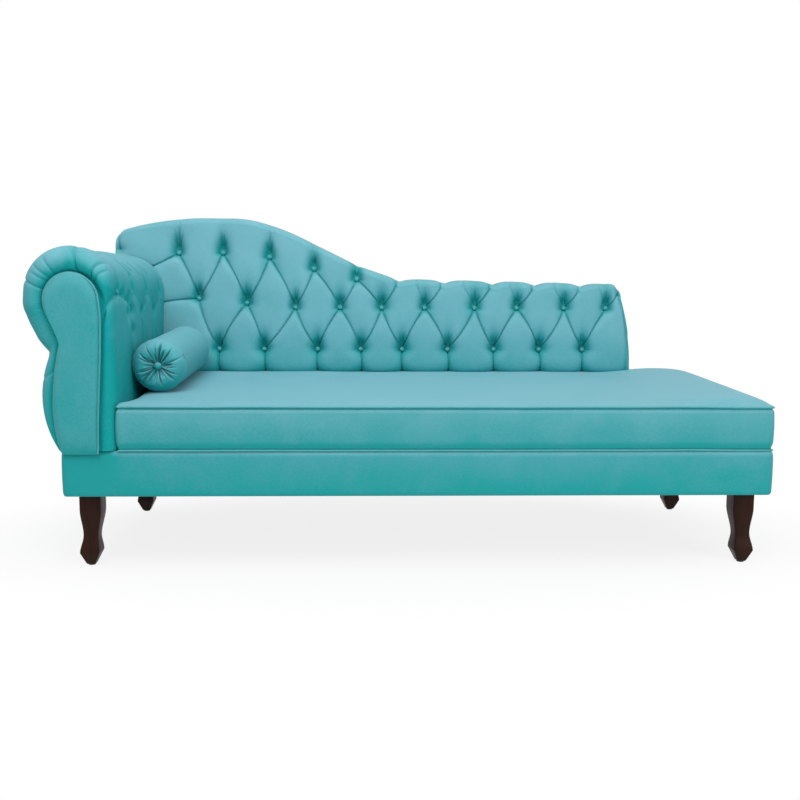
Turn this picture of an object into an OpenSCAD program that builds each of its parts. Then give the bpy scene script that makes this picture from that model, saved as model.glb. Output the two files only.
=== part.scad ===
// Fainting couch with one scroll arm, a buttoned back that falls from high to low,
// a boxed and piped seat, four sawn legs and a loose bolster.
// Local places run from the base's front left corner on the floor: x to the right,
// y to the rear, z up. place() moves them so that the origin is under the middle.

/* [Base] */
// Length of the upholstered base
base_l = 1770; // [1500:5:2000]
// Depth of the upholstered base
base_d = 690; // [640:5:760]
// Height of the upholstered base band
base_h = 115; // [95:1:150]
// Thickness of the base band, cloth with padding
band_t = 10; // [6:0.5:14]
// Thickness of the base rails
rail_t = 22; // [18:1:30]
// Number of cross slats under the webbing
slat_count = 3; // [1:1:4]
// Width of one webbing strap
strap_w = 50; // [40:1:70]
// Number of straps that run front to rear
cross_strap_count = 9; // [5:1:11]
// Number of straps that run along the length
long_strap_count = 4; // [2:1:5]

/* [Legs] */
// Height of a leg from the floor to the dust cover, glide included
leg_h = 184; // [130:1:220]
// Width of a leg's top block
leg_w = 53; // [46:1:62]
// Width of a leg at its waist
leg_waist_w = 37; // [30:1:44]
// Width of a leg at its lower bulge
leg_bulge_w = 49; // [42:1:58]
// Width of a leg's foot at the floor
leg_foot_w = 22; // [20:1:28]
// Distance from the base's side to the middle of a leg's top
leg_inset_x = 57; // [50:1:64]
// Distance from the base's front or rear to the middle of a leg's top
leg_inset_y = 58; // [50:1:66]
// How far a foot stands outward of its leg's top
foot_out = 5; // [0:0.5:8]

/* [Seat] */
// Height of the seat's boxing, from the base band to the piped edge
seat_h = 110; // [80:1:140]
// Rise of the seat's crown above its piped edge
seat_crown = 38; // [15:1:60]
// How far the boxing draws in behind the piping at its lower seam
seat_draw = 1.5; // [0.5:0.5:5]
// Radius of the seat's piping
seat_pipe_r = 3; // [2:0.1:4]
// Radius of the piping between the seat and the base
base_pipe_r = 2.5; // [2:0.1:3.5]

/* [Arm] */
// Distance from the base's left side to the arm's inner face
arm_w = 138; // [125:1:170]
// Height of the arm's top above the base band
arm_h = 496; // [440:1:540]
// Radius of the arm's roll
roll_r = 108; // [95:1:112]
// Distance from the base's left side to the roll's middle
roll_x = 30; // [20:1:45]
// How far the arm's waist stands out from the base's left side
waist_out = 17; // [8:1:22]
// How far the arm's lower bulge stands out from the base's left side
bulge_out = 37; // [28:1:44]
// Thickness of the arm's padding, cloth with foam
arm_pad_t = 34; // [28:1:38]
// How far the front facing stands proud of the base's front
facing_proud = 24; // [18:1:32]
// Radius of the facing's piping
facing_pipe_r = 2.6; // [2:0.1:3.5]

/* [Back] */
// Length of the seat that runs on past the back's right end
open_l = 217; // [120:1:420]
// How far the back's left end stands out from the base's left side
back_out = 10; // [0:1:20]
// Height of the back's peak above the base band
back_peak_h = 608; // [560:1:660]
// Height of the back's low part above the base band
back_low_h = 427; // [390:1:450]
// Thickness of the back at its foot
back_t = 140; // [125:1:155]
// Thickness of the back at its peak
back_top_t = 104; // [100:1:125]
// How far the back's right end leans in between foot and top
back_taper = 35; // [0:1:60]
// Depth of a back button below the crest of the padding
button_sink = 38; // [25:1:40]
// Depth of a crease between two buttons
crease_sink = 20; // [10:1:26]
// Diameter of a covered button
button_d = 22; // [16:1:28]

/* [Bolster] */
// Diameter of the bolster
bolster_d = 139; // [120:1:170]
// Distance from the base's front to the bolster's front end
bolster_front_y = 142; // [120:1:200]

/* [Hidden] */
$fn = 32;
small_fn = 12;

// Clearances and overruns
soft_gap = 0.3;
fit_gap = 0.1;
overrun = 5;

// Colours
cloth = [0.36, 0.70, 0.72];
cloth_deep = [0.20, 0.56, 0.57];
dark_wood = [0.14, 0.08, 0.06];
pine = [0.80, 0.66, 0.45];
ply = [0.74, 0.60, 0.42];
foam = [0.93, 0.89, 0.72];
hessian = [0.76, 0.66, 0.48];
strap_black = [0.12, 0.12, 0.13];
steel = [0.62, 0.62, 0.64];

// Base levels
dust_t = 1;
base_z = leg_h + dust_t;
base_top = base_z + base_h;
lip_t = 1.5;
lip_w = 30;
rail_z = base_z + lip_t;
strap_t = 1.5;
deck_t = 1;
rail_top = base_top - 2 * strap_t - deck_t;
rail_h = rail_top - rail_z;
band_r = 10;
slat_w = 70;
slat_drop = 20;
slat_t = 18;
dust_inset = 12;
strap_lap = 16;

// Fasteners
bolt_r = 4;
bolt_up = 48;
bolt_down = 45;
tee_flange_r = 11;
tee_flange_t = 1.6;
tee_barrel_r = 5.2;
tee_barrel_h = 9;
screw_r = 2.2;
screw_l = 58;
screw_head_r = 4.2;
screw_head_h = 3;
screw_shares = [0.28, 0.72];
staple_l = 10;
staple_w = 1.2;
staple_t = 0.6;
staple_step_l = 88;

// Leg heights, and the glide under a foot
leg_block_h = 40;
leg_waist_z = 76;
leg_bulge_z = 34;
glide_r = 9;
glide_t = 3;
glide_pin_r = 1.5;
glide_pin_h = 12;

// Piping stands out of the cloth by this much
pipe_out = 1;
base_pipe_in = 2 * base_pipe_r - pipe_out + fit_gap;
seat_notch = 2 * (seat_pipe_r - pipe_out) + sqrt(2) * (seat_pipe_r + fit_gap);
seat_pipe_in = seat_notch / 2 - (seat_pipe_r + fit_gap) / sqrt(2);

// Overall box and the move to the shared origin
left_most = roll_x - roll_r;
right_most = base_l + pipe_out;
front_most = -facing_proud;
rear_most = base_d + pipe_out;
module place() {
    translate([-(left_most + right_most) / 2, -(front_most + rear_most) / 2, 0]) children();
}

// Back, from its rear face forward
back_rear_y = base_d - band_t;
post_d = 18;
back_rail_t = 16;
back_board_t = 6;
back_foam_t = 12;
back_frame_y = back_rear_y - post_d - back_rail_t;
back_board_y = back_frame_y - back_board_t;
back_foam_y = back_board_y - back_foam_t;
back_y0 = base_d - back_t;
back_lean = back_t - back_top_t;
back_x0 = -back_out;
back_x1 = base_l - open_l;
back_l = back_x1 - back_x0;
back_round = 34;
back_end_round = 40;
back_crest_share = 0.8;
back_peak_z = base_top + back_peak_h;
back_low_z = base_top + back_low_h;
back_low_fall = 13;
back_left_drop = 42;
back_margin = 26;
outside_margin = 6;
sill_h = 32;
sill_z = rail_top + strap_t;
post_w = 40;
back_rail_h = 60;
post_shares = [0.06, 0.27, 0.50, 0.74, 0.93];
sill_screw_shares = [0.12, 0.24, 0.38, 0.52, 0.66, 0.80, 0.92];

// Seat
seat_bottom = base_top + soft_gap;
seat_edge_z = base_top + seat_h;
seat_x0 = arm_w + soft_gap;
seat_x1 = base_l;
seat_rear_short = back_board_y - soft_gap;
seat_foam_inset = 12;
seat_front_r = 14;
seat_rear_r = 50;
seat_step_gap = 4;
seat_step_l = 24;
seat_spans = 9;
seat_rise_power = 0.65;
seat_end_power = 13;
seat_rear_power = 9;
boxing_shares = [0, 0.06, 0.14, 0.3, 0.6, 1];
boxing_round_share = 0.35;
top_shares = [0, 0.015, 0.05, 0.12, 0.22, 0.36, 0.5, 0.64, 0.78, 0.9, 1];
back_foot_z = seat_edge_z + seat_crown + soft_gap;

// Button places along the back, as shares of its length
row_a_shares = [0.120, 0.205, 0.295, 0.381, 0.464];
row_b_shares = [0.158, 0.251, 0.345, 0.432, 0.513, 0.597, 0.695, 0.778, 0.871, 0.954];
row_c_shares = [0.197, 0.284, 0.388, 0.472, 0.553, 0.642, 0.733, 0.822, 0.908];
valley_shares = [0.548, 0.637, 0.732, 0.816, 0.906];
row_a_height_shares = [0.67, 0.67, 0.70, 0.74, 0.90];
peak_share = 0.170;
fall_start_share = 0.218;
fall_end_share = 0.582;
row_c_up = 215;
row_b_up = 341;
row_c_z = base_top + row_c_up;
row_b_z = base_top + row_b_up;
row_b_rise = 26;
row_b_rise_l = 290;
scallop = 12;
scallop_w = 22;
dimple_w = 26;
crease_w = 15;
button_cone_share = 0.46;
button_cone_h = button_sink * button_cone_share;
button_gap = 1.6;
button_dome_h = 4;
button_tip_r = 0.6;

// Arm
roll_z = base_top + arm_h - roll_r;
arm_front_y = -2;
arm_rear_y = back_y0 - soft_gap;
roll_end_angle = 210;
waist_height_share = 0.486;
bulge_height_share = 0.272;
former_t = 18;
lining_t = 1.5;
arm_slat_t = 16;
arm_foot_z = base_top + soft_gap;
arm_first_y = 84;
arm_last_in = 34;
arm_pitch = (arm_rear_y - arm_last_in - arm_first_y) / 3;
arm_sink = 26;
arm_crease = 15;
arm_round_share = 0.9;
arm_round_power = 2.6;
arm_front_shares = [0, 0.03, 0.13, 0.29, 0.5, 0.75, 1];
arm_steps = 6;

// Facing: its own keyhole outline
facing_low = 10;
facing_round_r = 62;
facing_round_x = 38;
facing_round_drop = 20;
facing_round_z = roll_z - facing_round_drop;
facing_round_angle = 196;
facing_foot_x = 97;
facing_side_x = 112;
facing_side_drop = 48;
facing_side_z = roll_z - facing_side_drop;
facing_waist_x = 10;
facing_waist_drop = 112;
facing_waist_z = roll_z - facing_waist_drop;
facing_bulge_x = -10;
facing_bulge_up = 98;
facing_bulge_z = base_top + facing_bulge_up;
facing_heel_x = 9;
facing_board_t = 6;
facing_board_inset = 5;
facing_crown_inset = 12;
// Each ring of the facing's pad, as shares of the crown's inset and of the pad's depth
facing_crown_shares = [[1, 0.96], [0.33, 0.8], [0, 0.45], [0, 0]];

// Bolster
bolster_r = bolster_d / 2;
bolster_gap = 1;
bolster_rear_gap = 8;
bolster_l = back_y0 - bolster_rear_gap - bolster_front_y;
bolster_body_share = 0.93;
bolster_x = arm_w + bolster_gap + bolster_r;
bolster_wall = 10;
gather_count = 24;
gather_deep = 5;
bolster_dish = 12;
bolster_button_r = 9;

// Outline helpers
function line_points(p, q, n) = [for (i = [1 : n]) p + (q - p) * i / n];
function unit(v) = v / norm(v);
function outward(points, i) =
    let (
        n = len(points),
        u = unit(points[(i + 1) % n] - points[(i + n - 1) % n])
    ) [u[1], -u[0]];
function grown(points, by) = [for (i = [0 : len(points) - 1]) points[i] + by * outward(points, i)];
function reversed(v) = [for (i = [len(v) - 1 : -1 : 0]) v[i]];
function smooth(t) = let (c = min(1, max(0, t))) c * c * (3 - 2 * c);
function sum(v, i = 0) = i < len(v) ? v[i] + sum(v, i + 1) : 0;
function sorted(v) =
    len(v) < 2 ? v
    : let (rest = [for (i = [1 : len(v) - 1]) v[i]])
        concat(sorted([for (a = rest) if (a < v[0]) a]), [v[0]], sorted([for (a = rest) if (a > v[0]) a]));
function segment_distance(p, a, b) =
    let (
        ab = b - a,
        t = min(1, max(0, (p - a) * ab / (ab * ab)))
    ) norm(p - a - t * ab);
function quarter_drop(d, r) = d < r ? r - sqrt(max(0, r * r - pow(r - d, 2))) : 0;

// A closed solid through rings of equally many points, capped by fans
module loft(rings, start, end) {
    m = len(rings);
    n = len(rings[0]);
    points = concat([for (r = rings) each r], [start, end]);
    walls = [
        for (i = [0 : m - 2]) for (j = [0 : n - 1])
            let (a = i * n + j, b = i * n + (j + 1) % n, c = a + n, d = b + n)
            // The split follows the shorter diagonal, so that creases stay sharp
            each norm(points[a] - points[d]) < norm(points[b] - points[c])
                ? [[a, d, c], [a, b, d]] : [[a, b, c], [b, d, c]]
    ];
    first = [for (j = [0 : n - 1]) [m * n, (j + 1) % n, j]];
    last = [for (j = [0 : n - 1]) [m * n + 1, (m - 1) * n + j, (m - 1) * n + (j + 1) % n]];
    polyhedron(points, concat(first, walls, last));
}

// An outline in x and z, extruded from y0 to y1
module slab(points, y0, y1) {
    translate([0, y1, 0]) rotate([90, 0, 0]) linear_extrude(y1 - y0) polygon(points);
}

module block(x0, x1, y0, y1, z0, z1) {
    translate([x0, y0, z0]) cube([x1 - x0, y1 - y0, z1 - z0]);
}

// A tube of 8 sides along a path that lies square to the direction up
module tube(path, r, up) {
    sides = 8;
    n = len(path);
    rings = [
        for (i = [0 : n - 1])
            let (
                before = unit(path[max(i, 1)] - path[max(i, 1) - 1]),
                after = unit(path[min(i + 1, n - 1)] - path[min(i, n - 2)]),
                s = unit(cross(before + after, up)),
                stretch = 1 / max(0.5, s * unit(cross(before, up)))
            )
            [
                for (k = [0 : sides - 1])
                    let (a = 360 * k / sides) path[i] + r * (stretch * cos(a) * s + sin(a) * up)
            ]
    ];
    loft(rings, path[0], path[n - 1]);
}

// The path of an edge, inward of the sides by inset: front, right side and a stretch of the rear
function edge_path(front_r, rear_r, inset, z) =
    concat(
        [[seat_x0, inset, z]],
        [for (k = [0 : 3]) let (a = 30 * k)
            [base_l - front_r + (front_r - inset) * sin(a), front_r - (front_r - inset) * cos(a), z]],
        [for (k = [0 : 4]) let (a = 90 - 22.5 * k)
            [base_l - rear_r + (rear_r - inset) * sin(a), base_d - rear_r + (rear_r - inset) * cos(a), z]],
        [[back_x1 + seat_step_gap + seat_step_l, base_d - inset, z]]
    );

// Seat surface
seat_edge = edge_path(seat_front_r, seat_rear_r, 0, seat_edge_z);
function seat_front(x) = lookup(x, [for (i = [0 : 4]) [seat_edge[i][0], seat_edge[i][1]]]);
function seat_open(x) = smooth((x - back_x1 - seat_step_gap) / seat_step_l);
function seat_rear(x) =
    let (full = lookup(x, [for (i = [9 : -1 : 5]) [seat_edge[i][0], seat_edge[i][1]]]))
    seat_rear_short + (full - seat_rear_short) * seat_open(x);
function seat_z(x, y) =
    let (half = (seat_x1 - seat_x0) / 2, u = max(0, (x - seat_x0 - half) / half))
    seat_edge_z + seat_crown
        * pow(min(1, max(0, (y - seat_notch) / (back_y0 - seat_notch))), seat_rise_power)
        * (1 - pow(u, seat_end_power))
        * (1 - seat_open(x) * pow(min(1, y / (seat_rear(x) - seat_notch)), seat_rear_power));
function seat_chamfer(x, y) =
    seat_edge_z - seat_notch + min([
        for (i = [1 : len(seat_edge) - 1])
            let (a = seat_edge[i - 1], b = seat_edge[i])
                segment_distance([x, y], [a[0], a[1]], [b[0], b[1]])
    ]);
boxing_in = base_pipe_in + seat_draw;
function seat_side(x, y, share, sign) =
    let (
        in = boxing_in * (1 - smooth(share / boxing_round_share)),
        end = smooth((x - seat_x1 + seat_front_r) / seat_front_r)
    ) [x - in * end, y + sign * in, seat_bottom + (seat_edge_z - seat_notch - seat_bottom) * share];
function seat_ring(x) =
    let (
        y0 = seat_front(x),
        y1 = seat_rear(x),
        w = seat_open(x),
        run = y1 - y0 - seat_notch * (1 + w)
    )
    concat(
        [for (s = boxing_shares) seat_side(x, y0, s, 1)],
        [for (t = top_shares)
            let (y = y0 + seat_notch + t * run) [x, y, min(seat_z(x, y), seat_chamfer(x, y))]],
        [for (s = reversed(boxing_shares)) seat_side(x, y1, s, -w)]
    );
seat_stations = sorted(concat(
    [for (k = [0 : seat_spans]) seat_x0 + (back_x1 - seat_x0) * k / seat_spans],
    [for (k = [0 : 3]) back_x1 + seat_step_gap + seat_step_l * k / 3],
    [for (p = seat_edge) if (p[0] > back_x1 + seat_step_gap + seat_step_l) p[0]],
    [seat_x1 - seat_notch, seat_x1 - 2 * seat_rear_r]
));

// Back outline
function back_x(share) = back_x0 + share * back_l;
peak_x = back_x(peak_share);
fall_start_x = back_x(fall_start_share);
fall_end_x = back_x(fall_end_share);
function back_line(x) =
    x < peak_x ? back_peak_z - back_left_drop * pow((peak_x - x) / (peak_x - back_x0), 2)
    : let (t = min(1, max(0, (x - fall_start_x) / (fall_end_x - fall_start_x))))
        back_low_z + (back_peak_z - back_low_z) * (1 + cos(180 * t)) / 2
        - back_low_fall * max(0, x - fall_end_x) / (back_x1 - fall_end_x);
function scallop_at(x) =
    scallop * max([for (s = valley_shares) exp(-pow((x - back_x(s)) / scallop_w, 2))]);
function back_top(x) =
    back_line(x) - scallop_at(x) - quarter_drop(min(x - back_x0, back_x1 - x), back_round);

// Buttons of the back as [x, z]
function row_b_height(x) = row_b_z + row_b_rise * smooth(1 - (x - back_x(row_b_shares[0])) / row_b_rise_l);
function row_a_height(x) =
    let (
        table = [for (i = [0 : len(row_a_shares) - 1]) [back_x(row_a_shares[i]), row_a_height_shares[i]]],
        b = row_b_height(x)
    ) b + lookup(x, table) * (back_line(x) - back_round - b);
row_a = [for (s = row_a_shares) let (x = back_x(s)) [x, row_a_height(x)]];
row_b = [for (s = row_b_shares) let (x = back_x(s)) [x, row_b_height(x)]];
row_c = [for (s = row_c_shares) [back_x(s), row_c_z]];
valleys = [for (s = valley_shares) let (x = back_x(s)) [x, back_line(x)]];
row_top = concat(row_a, valleys);
back_creases = concat(
    [for (i = [0 : len(row_c) - 1]) each [[row_b[i], row_c[i]], [row_c[i], row_b[i + 1]]]],
    [for (i = [0 : len(row_b) - 1]) [row_top[i], row_b[i]]],
    [for (i = [0 : len(row_b) - 2]) [row_b[i], row_top[i + 1]]],
    [for (p = row_c) [p, [p[0], back_foot_z]]],
    [for (p = row_a) [p, [p[0], back_peak_z]]]
);
back_points = concat(row_a, row_b, row_c);
function back_sunk(p) =
    max(
        button_sink * exp(-min([for (b = back_points) norm(p - b)]) / dimple_w),
        crease_sink * exp(-min([for (c = back_creases) segment_distance(p, c[0], c[1])]) / crease_w)
    );
function back_front(x, z) =
    back_y0 + back_lean * (z - back_foot_z) / (back_peak_z - back_foot_z)
        + max(back_sunk([x, z]), quarter_drop(min(x - back_x0, back_x1 - x), back_end_round));
last_button_x = back_x(row_b_shares[len(row_b_shares) - 1]);
function taper(x, z) =
    x - back_taper * smooth((x - last_button_x) / (back_x1 - last_button_x))
        * (z - back_foot_z) / (back_low_z - back_foot_z);

// Columns along the back as [x low, x high]; they pass through the buttons of every row
back_columns = concat(
    [[back_x0, back_x0], [back_x0 + back_end_round / 3, back_x0 + back_end_round / 3]],
    [[row_a[0][0], row_a[0][0]]],
    [for (i = [0 : len(row_c) - 1]) each [[row_b[i][0], row_b[i][0]], [row_c[i][0], row_top[i + 1][0]]]],
    [[last_button_x, last_button_x]],
    [[back_x1 - back_end_round / 3, back_x1 - back_end_round / 3], [back_x1, back_x1]]
);
back_stations = concat(
    [for (i = [0 : len(back_columns) - 2]) for (k = [0 : 2])
        back_columns[i] + (back_columns[i + 1] - back_columns[i]) * k / 3],
    [[back_x1, back_x1]]
);
function back_ring(column) =
    let (
        low = column[0],
        high = column[1],
        b = row_b_height(high),
        a = row_a_height(high),
        top = back_top(high) - back_round,
        levels = [
            back_foot_z, (back_foot_z + row_c_z) / 2, row_c_z,
            row_c_z + (b - row_c_z) / 3, row_c_z + (b - row_c_z) * 2 / 3, b,
            (a + b) / 2, min(a, top - soft_gap), top
        ],
        y_top = back_front(high, top)
    )
    concat(
        [for (z = levels)
            let (x = low + (high - low) * min(1, max(0, (z - row_c_z) / (a - row_c_z))))
            [taper(x, z), back_front(x, z), z]],
        [for (k = [1 : 4]) let (t = 90 * k / 4)
            [taper(high, top), y_top + back_crest_share * back_round * (1 - cos(t)),
             top + back_round * sin(t)]],
        [[taper(high, top), back_rear_y - soft_gap, top + back_crest_share * back_round],
         [low, back_rear_y - soft_gap, back_foot_z]]
    );
// Outline under the back's top edge, from right to left
function back_edge(margin) =
    [for (i = [0 : 24])
        let (
            x = back_x1 - margin - (back_x1 - back_x0 - 2 * margin) * i / 24,
            d = min(x - back_x0, back_x1 - x) - margin,
            z = back_line(x) - scallop - margin - quarter_drop(d, back_round)
        ) [taper(x, z), z]];
function back_inner(margin) =
    concat([[back_x1 - margin, back_foot_z]], back_edge(margin), [[back_x0 + margin, back_foot_z]]);
function back_core(margin, foot) =
    concat([[back_x1 - margin, foot]], back_inner(margin), [[back_x0 + margin, foot]]);

// Arm outline from its inner foot over the roll to its outer foot, drawn in by inset.
// The facing's outline has as many points on the same stretches.
side_n = 8;
round_n = 14;
neck_n = 2;
belly_n = 7;
foot_n = 3;
waist_z = base_top + arm_h * waist_height_share;
bulge_z = base_top + arm_h * bulge_height_share;
belly_r = (pow(waist_z - bulge_z, 2) + pow(bulge_out - waist_out, 2)) / (2 * (bulge_out - waist_out));
function belly_point(z, inset) =
    [belly_r - bulge_out - sqrt(pow(belly_r - inset, 2) - pow(z - bulge_z, 2)), z];
function roll_point(a, inset) =
    [roll_x + ((a < 90 ? arm_w - roll_x : roll_r) - inset) * cos(a), roll_z + (roll_r - inset) * sin(a)];
function arm_shape(inset) =
    concat(
        [[arm_w - inset, arm_foot_z]],
        line_points([arm_w - inset, arm_foot_z], [arm_w - inset, roll_z], side_n - 1),
        [for (i = [1 : round_n]) roll_point(roll_end_angle * i / round_n, inset)],
        line_points(roll_point(roll_end_angle, inset), belly_point(waist_z, inset), neck_n),
        [for (i = [1 : belly_n]) belly_point(waist_z + (arm_foot_z - waist_z) * i / belly_n, inset)]
    );
// The same outline with its two sides carried straight down to a foot
function arm_core(inset, foot) =
    let (shape = arm_shape(inset))
    concat([[shape[0][0], foot]], shape, [[shape[len(shape) - 1][0], foot]]);
arm_open = arm_shape(0);
arm_heel = arm_open[len(arm_open) - 1];
arm_ring = concat(arm_open,
    [for (i = [1 : foot_n]) arm_heel + (arm_open[0] - arm_heel) * i / (foot_n + 1)]);
facing_foot_z = base_top - facing_low;
function facing_belly(z) =
    let (
        high = z > facing_bulge_z,
        edge = high ? facing_waist_x : facing_heel_x,
        reach = high ? facing_waist_z - facing_bulge_z : facing_bulge_z - facing_foot_z
    ) [facing_bulge_x + (edge - facing_bulge_x) * pow((z - facing_bulge_z) / reach, 2), z];
function facing_round_point(a) =
    [facing_round_x + facing_round_r * cos(a), facing_round_z + facing_round_r * sin(a)];
facing_outline = concat(
    [for (i = [0 : side_n - 1]) let (t = i / (side_n - 1))
        [facing_foot_x + (facing_side_x - facing_foot_x) * smooth(t),
         facing_foot_z + (facing_side_z - facing_foot_z) * t]],
    [for (i = [1 : round_n]) facing_round_point(facing_round_angle * i / round_n)],
    line_points(facing_round_point(facing_round_angle), facing_belly(facing_waist_z), neck_n),
    [for (i = [1 : belly_n]) facing_belly(facing_waist_z + (facing_foot_z - facing_waist_z) * i / belly_n)],
    [for (i = [1 : foot_n])
        [facing_heel_x + (facing_foot_x - facing_heel_x) * i / (foot_n + 1), facing_foot_z]]
);

// Creases and buttons of the arm as [y, s], where s runs up the inner face and over the roll
arm_s = [
    for (i = [0 : len(arm_ring) - 1])
        i == 0 ? 0 : sum([for (k = [1 : i]) norm(arm_ring[k] - arm_ring[k - 1])])
];
over_s = arm_s[side_n - 1 + round_n];
arm_upper = [for (k = [0 : 3]) [arm_first_y + k * arm_pitch, arm_s[side_n - 1]]];
arm_lower = [for (k = [0 : 2]) [arm_first_y + (k + 0.5) * arm_pitch, arm_s[side_n - 2]]];
arm_creases = concat(
    [for (k = [0 : 2]) each [[arm_upper[k], arm_lower[k]], [arm_lower[k], arm_upper[k + 1]]]],
    [for (p = arm_lower) [p, [p[0], 0]]],
    [for (p = arm_upper) [p, [p[0], over_s]]]
);
arm_border = arm_round_share
    * max([for (i = [0 : len(arm_ring) - 1]) norm(arm_ring[i] - facing_outline[i])]);
function arm_sunk(y, s) =
    let (
        p = [y, s],
        b = arm_sink * exp(-min([for (q = concat(arm_upper, arm_lower)) norm(p - q)]) / dimple_w),
        c = arm_crease * exp(-min([for (q = arm_creases) segment_distance(p, q[0], q[1])]) / crease_w)
    ) s > over_s ? 0 : max(b, c);
arm_stations = concat(
    [for (t = arm_front_shares) arm_front_y + arm_border * t],
    [for (k = [0 : 4 * arm_steps])
        let (y = arm_first_y + k * arm_pitch / arm_steps)
        if (y > arm_front_y + arm_border && y < arm_rear_y - soft_gap) y],
    [arm_rear_y]
);
function arm_ring_at(y) =
    [
        for (i = [0 : len(arm_ring) - 1])
            let (
                border = norm(arm_ring[i] - facing_outline[i]) * arm_round_share,
                c = 1 - min(1, (y - arm_front_y) / border),
                grow = pow(1 - pow(c, arm_round_power), 1 / arm_round_power),
                sunk = arm_sunk(y, arm_s[i]) * smooth((y - arm_front_y) / arm_border),
                full = arm_ring[i] - sunk * outward(arm_ring, i),
                p = facing_outline[i] + (full - facing_outline[i]) * grow
            ) [p[0], y, max(p[1], arm_foot_z)]
    ];
arm_middle = [(arm_w + roll_x) / 2, (base_top + roll_z) / 2];

// Base
rail_x0 = band_t;
rail_x1 = base_l - band_t;
rail_y0 = band_t;
rail_y1 = base_d - band_t;
arm_rail_x = arm_w - arm_pad_t - rail_t;
block_w = arm_rail_x - rail_x0 - rail_t;
block_h = 42;
screw_x = [rail_x0 + rail_t / 2, arm_rail_x + rail_t / 2, rail_x1 - rail_t / 2];
sill_screw_y = rail_y1 - rail_t / 2;
module screw() {
    $fn = small_fn;
    cylinder(h = screw_head_h, r1 = screw_head_r, r2 = screw_r);
    cylinder(h = screw_l, r = screw_r);
}
module screw_hole() {
    $fn = small_fn;
    translate([0, 0, -overrun]) cylinder(h = overrun, r = screw_head_r + fit_gap);
    cylinder(h = screw_head_h, r1 = screw_head_r + fit_gap, r2 = screw_r + fit_gap);
    cylinder(h = screw_l + fit_gap, r = screw_r + fit_gap);
}
module at_frame_screws() {
    for (x = screw_x) for (s = screw_shares) {
        z = rail_z + rail_h * s;
        translate([x, rail_y0, z]) rotate([-90, 0, 0]) children();
        translate([x, rail_y1, z]) rotate([90, 0, 0]) children();
    }
}
module at_sill_screws() {
    for (s = sill_screw_shares)
        translate([back_x(s), sill_screw_y, sill_z + sill_h]) rotate([180, 0, 0]) children();
}
module base_front_rail() {
    color(pine) difference() {
        block(rail_x0, rail_x1, rail_y0, rail_y0 + rail_t, rail_z, rail_top);
        at_frame_screws() screw_hole();
    }
}
module base_rear_rail() {
    color(pine) difference() {
        block(rail_x0, rail_x1, rail_y1 - rail_t, rail_y1, rail_z, rail_top);
        at_frame_screws() screw_hole();
        at_sill_screws() screw_hole();
    }
}
module end_rail(x) {
    color(pine) difference() {
        block(x, x + rail_t, rail_y0 + rail_t, rail_y1 - rail_t, rail_z, rail_top);
        at_frame_screws() screw_hole();
    }
}
module base_left_rail() {
    end_rail(rail_x0);
}
module base_arm_rail() {
    end_rail(arm_rail_x);
}
module base_right_rail() {
    end_rail(rail_x1 - rail_t);
}
module base_cross_slats() {
    color(pine) for (k = [1 : slat_count]) {
        x = arm_w + (rail_x1 - rail_t - arm_w) * k / (slat_count + 1);
        block(x - slat_w / 2, x + slat_w / 2, rail_y0 + rail_t, rail_y1 - rail_t,
            rail_top - slat_drop - slat_t, rail_top - slat_drop);
    }
}
leg_x = [leg_inset_x, base_l - leg_inset_x];
leg_y = [leg_inset_y, base_d - leg_inset_y];
module at_legs() {
    for (x = leg_x) for (y = leg_y) translate([x, y, 0]) children();
}
module corner_blocks() {
    $fn = small_fn;
    color(pine) for (i = [0, 1]) for (j = [0, 1]) {
        x0 = i == 0 ? rail_x0 + rail_t : rail_x1 - rail_t - block_w;
        y0 = j == 0 ? rail_y0 + rail_t : rail_y1 - rail_t - block_w;
        difference() {
            block(x0, x0 + block_w, y0, y0 + block_w, rail_z, rail_z + block_h);
            translate([leg_x[i], leg_y[j], rail_z - overrun])
                cylinder(h = block_h + 2 * overrun, r = bolt_r + fit_gap);
            translate([leg_x[i], leg_y[j], rail_z + block_h - tee_barrel_h])
                cylinder(h = tee_barrel_h + overrun, r = tee_barrel_r + fit_gap);
        }
    }
}
module frame_screws() {
    color(steel) at_frame_screws() screw();
}
module webbing_cross() {
    color(strap_black) for (k = [0 : cross_strap_count - 1]) {
        x = arm_w + strap_w + (rail_x1 - arm_w - 3 * strap_w) * k / (cross_strap_count - 1);
        block(x - strap_w / 2, x + strap_w / 2, rail_y0 + rail_t - strap_lap,
            sill_screw_y - screw_head_r - fit_gap, rail_top, rail_top + strap_t);
    }
}
module webbing_long() {
    color(strap_black) for (k = [0 : long_strap_count - 1]) {
        run = back_frame_y - rail_y0 - rail_t - 2 * strap_w;
        y = rail_y0 + rail_t + strap_w + run * k / (long_strap_count - 1);
        block(arm_w, rail_x1 - rail_t + strap_lap, y - strap_w / 2, y + strap_w / 2,
            rail_top + strap_t, rail_top + 2 * strap_t);
    }
}
module deck_cloth() {
    color(hessian) block(arm_w, rail_x1 - fit_gap, rail_y0 + fit_gap, seat_rear_short,
        rail_top + 2 * strap_t, rail_top + 2 * strap_t + deck_t);
}
module dust_cover() {
    $fn = small_fn;
    color(strap_black) difference() {
        block(dust_inset, base_l - dust_inset, dust_inset, base_d - dust_inset, leg_h, base_z);
        at_legs() translate([0, 0, leg_h - overrun])
            cylinder(h = dust_t + 2 * overrun, r = bolt_r + fit_gap);
    }
}
module staple_row(length, size, turn) {
    n = floor(length / staple_step_l);
    for (k = [0 : n])
        rotate([0, 0, turn]) translate([(k - n / 2) * staple_step_l, 0, 0]) cube(size, center = true);
}
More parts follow.
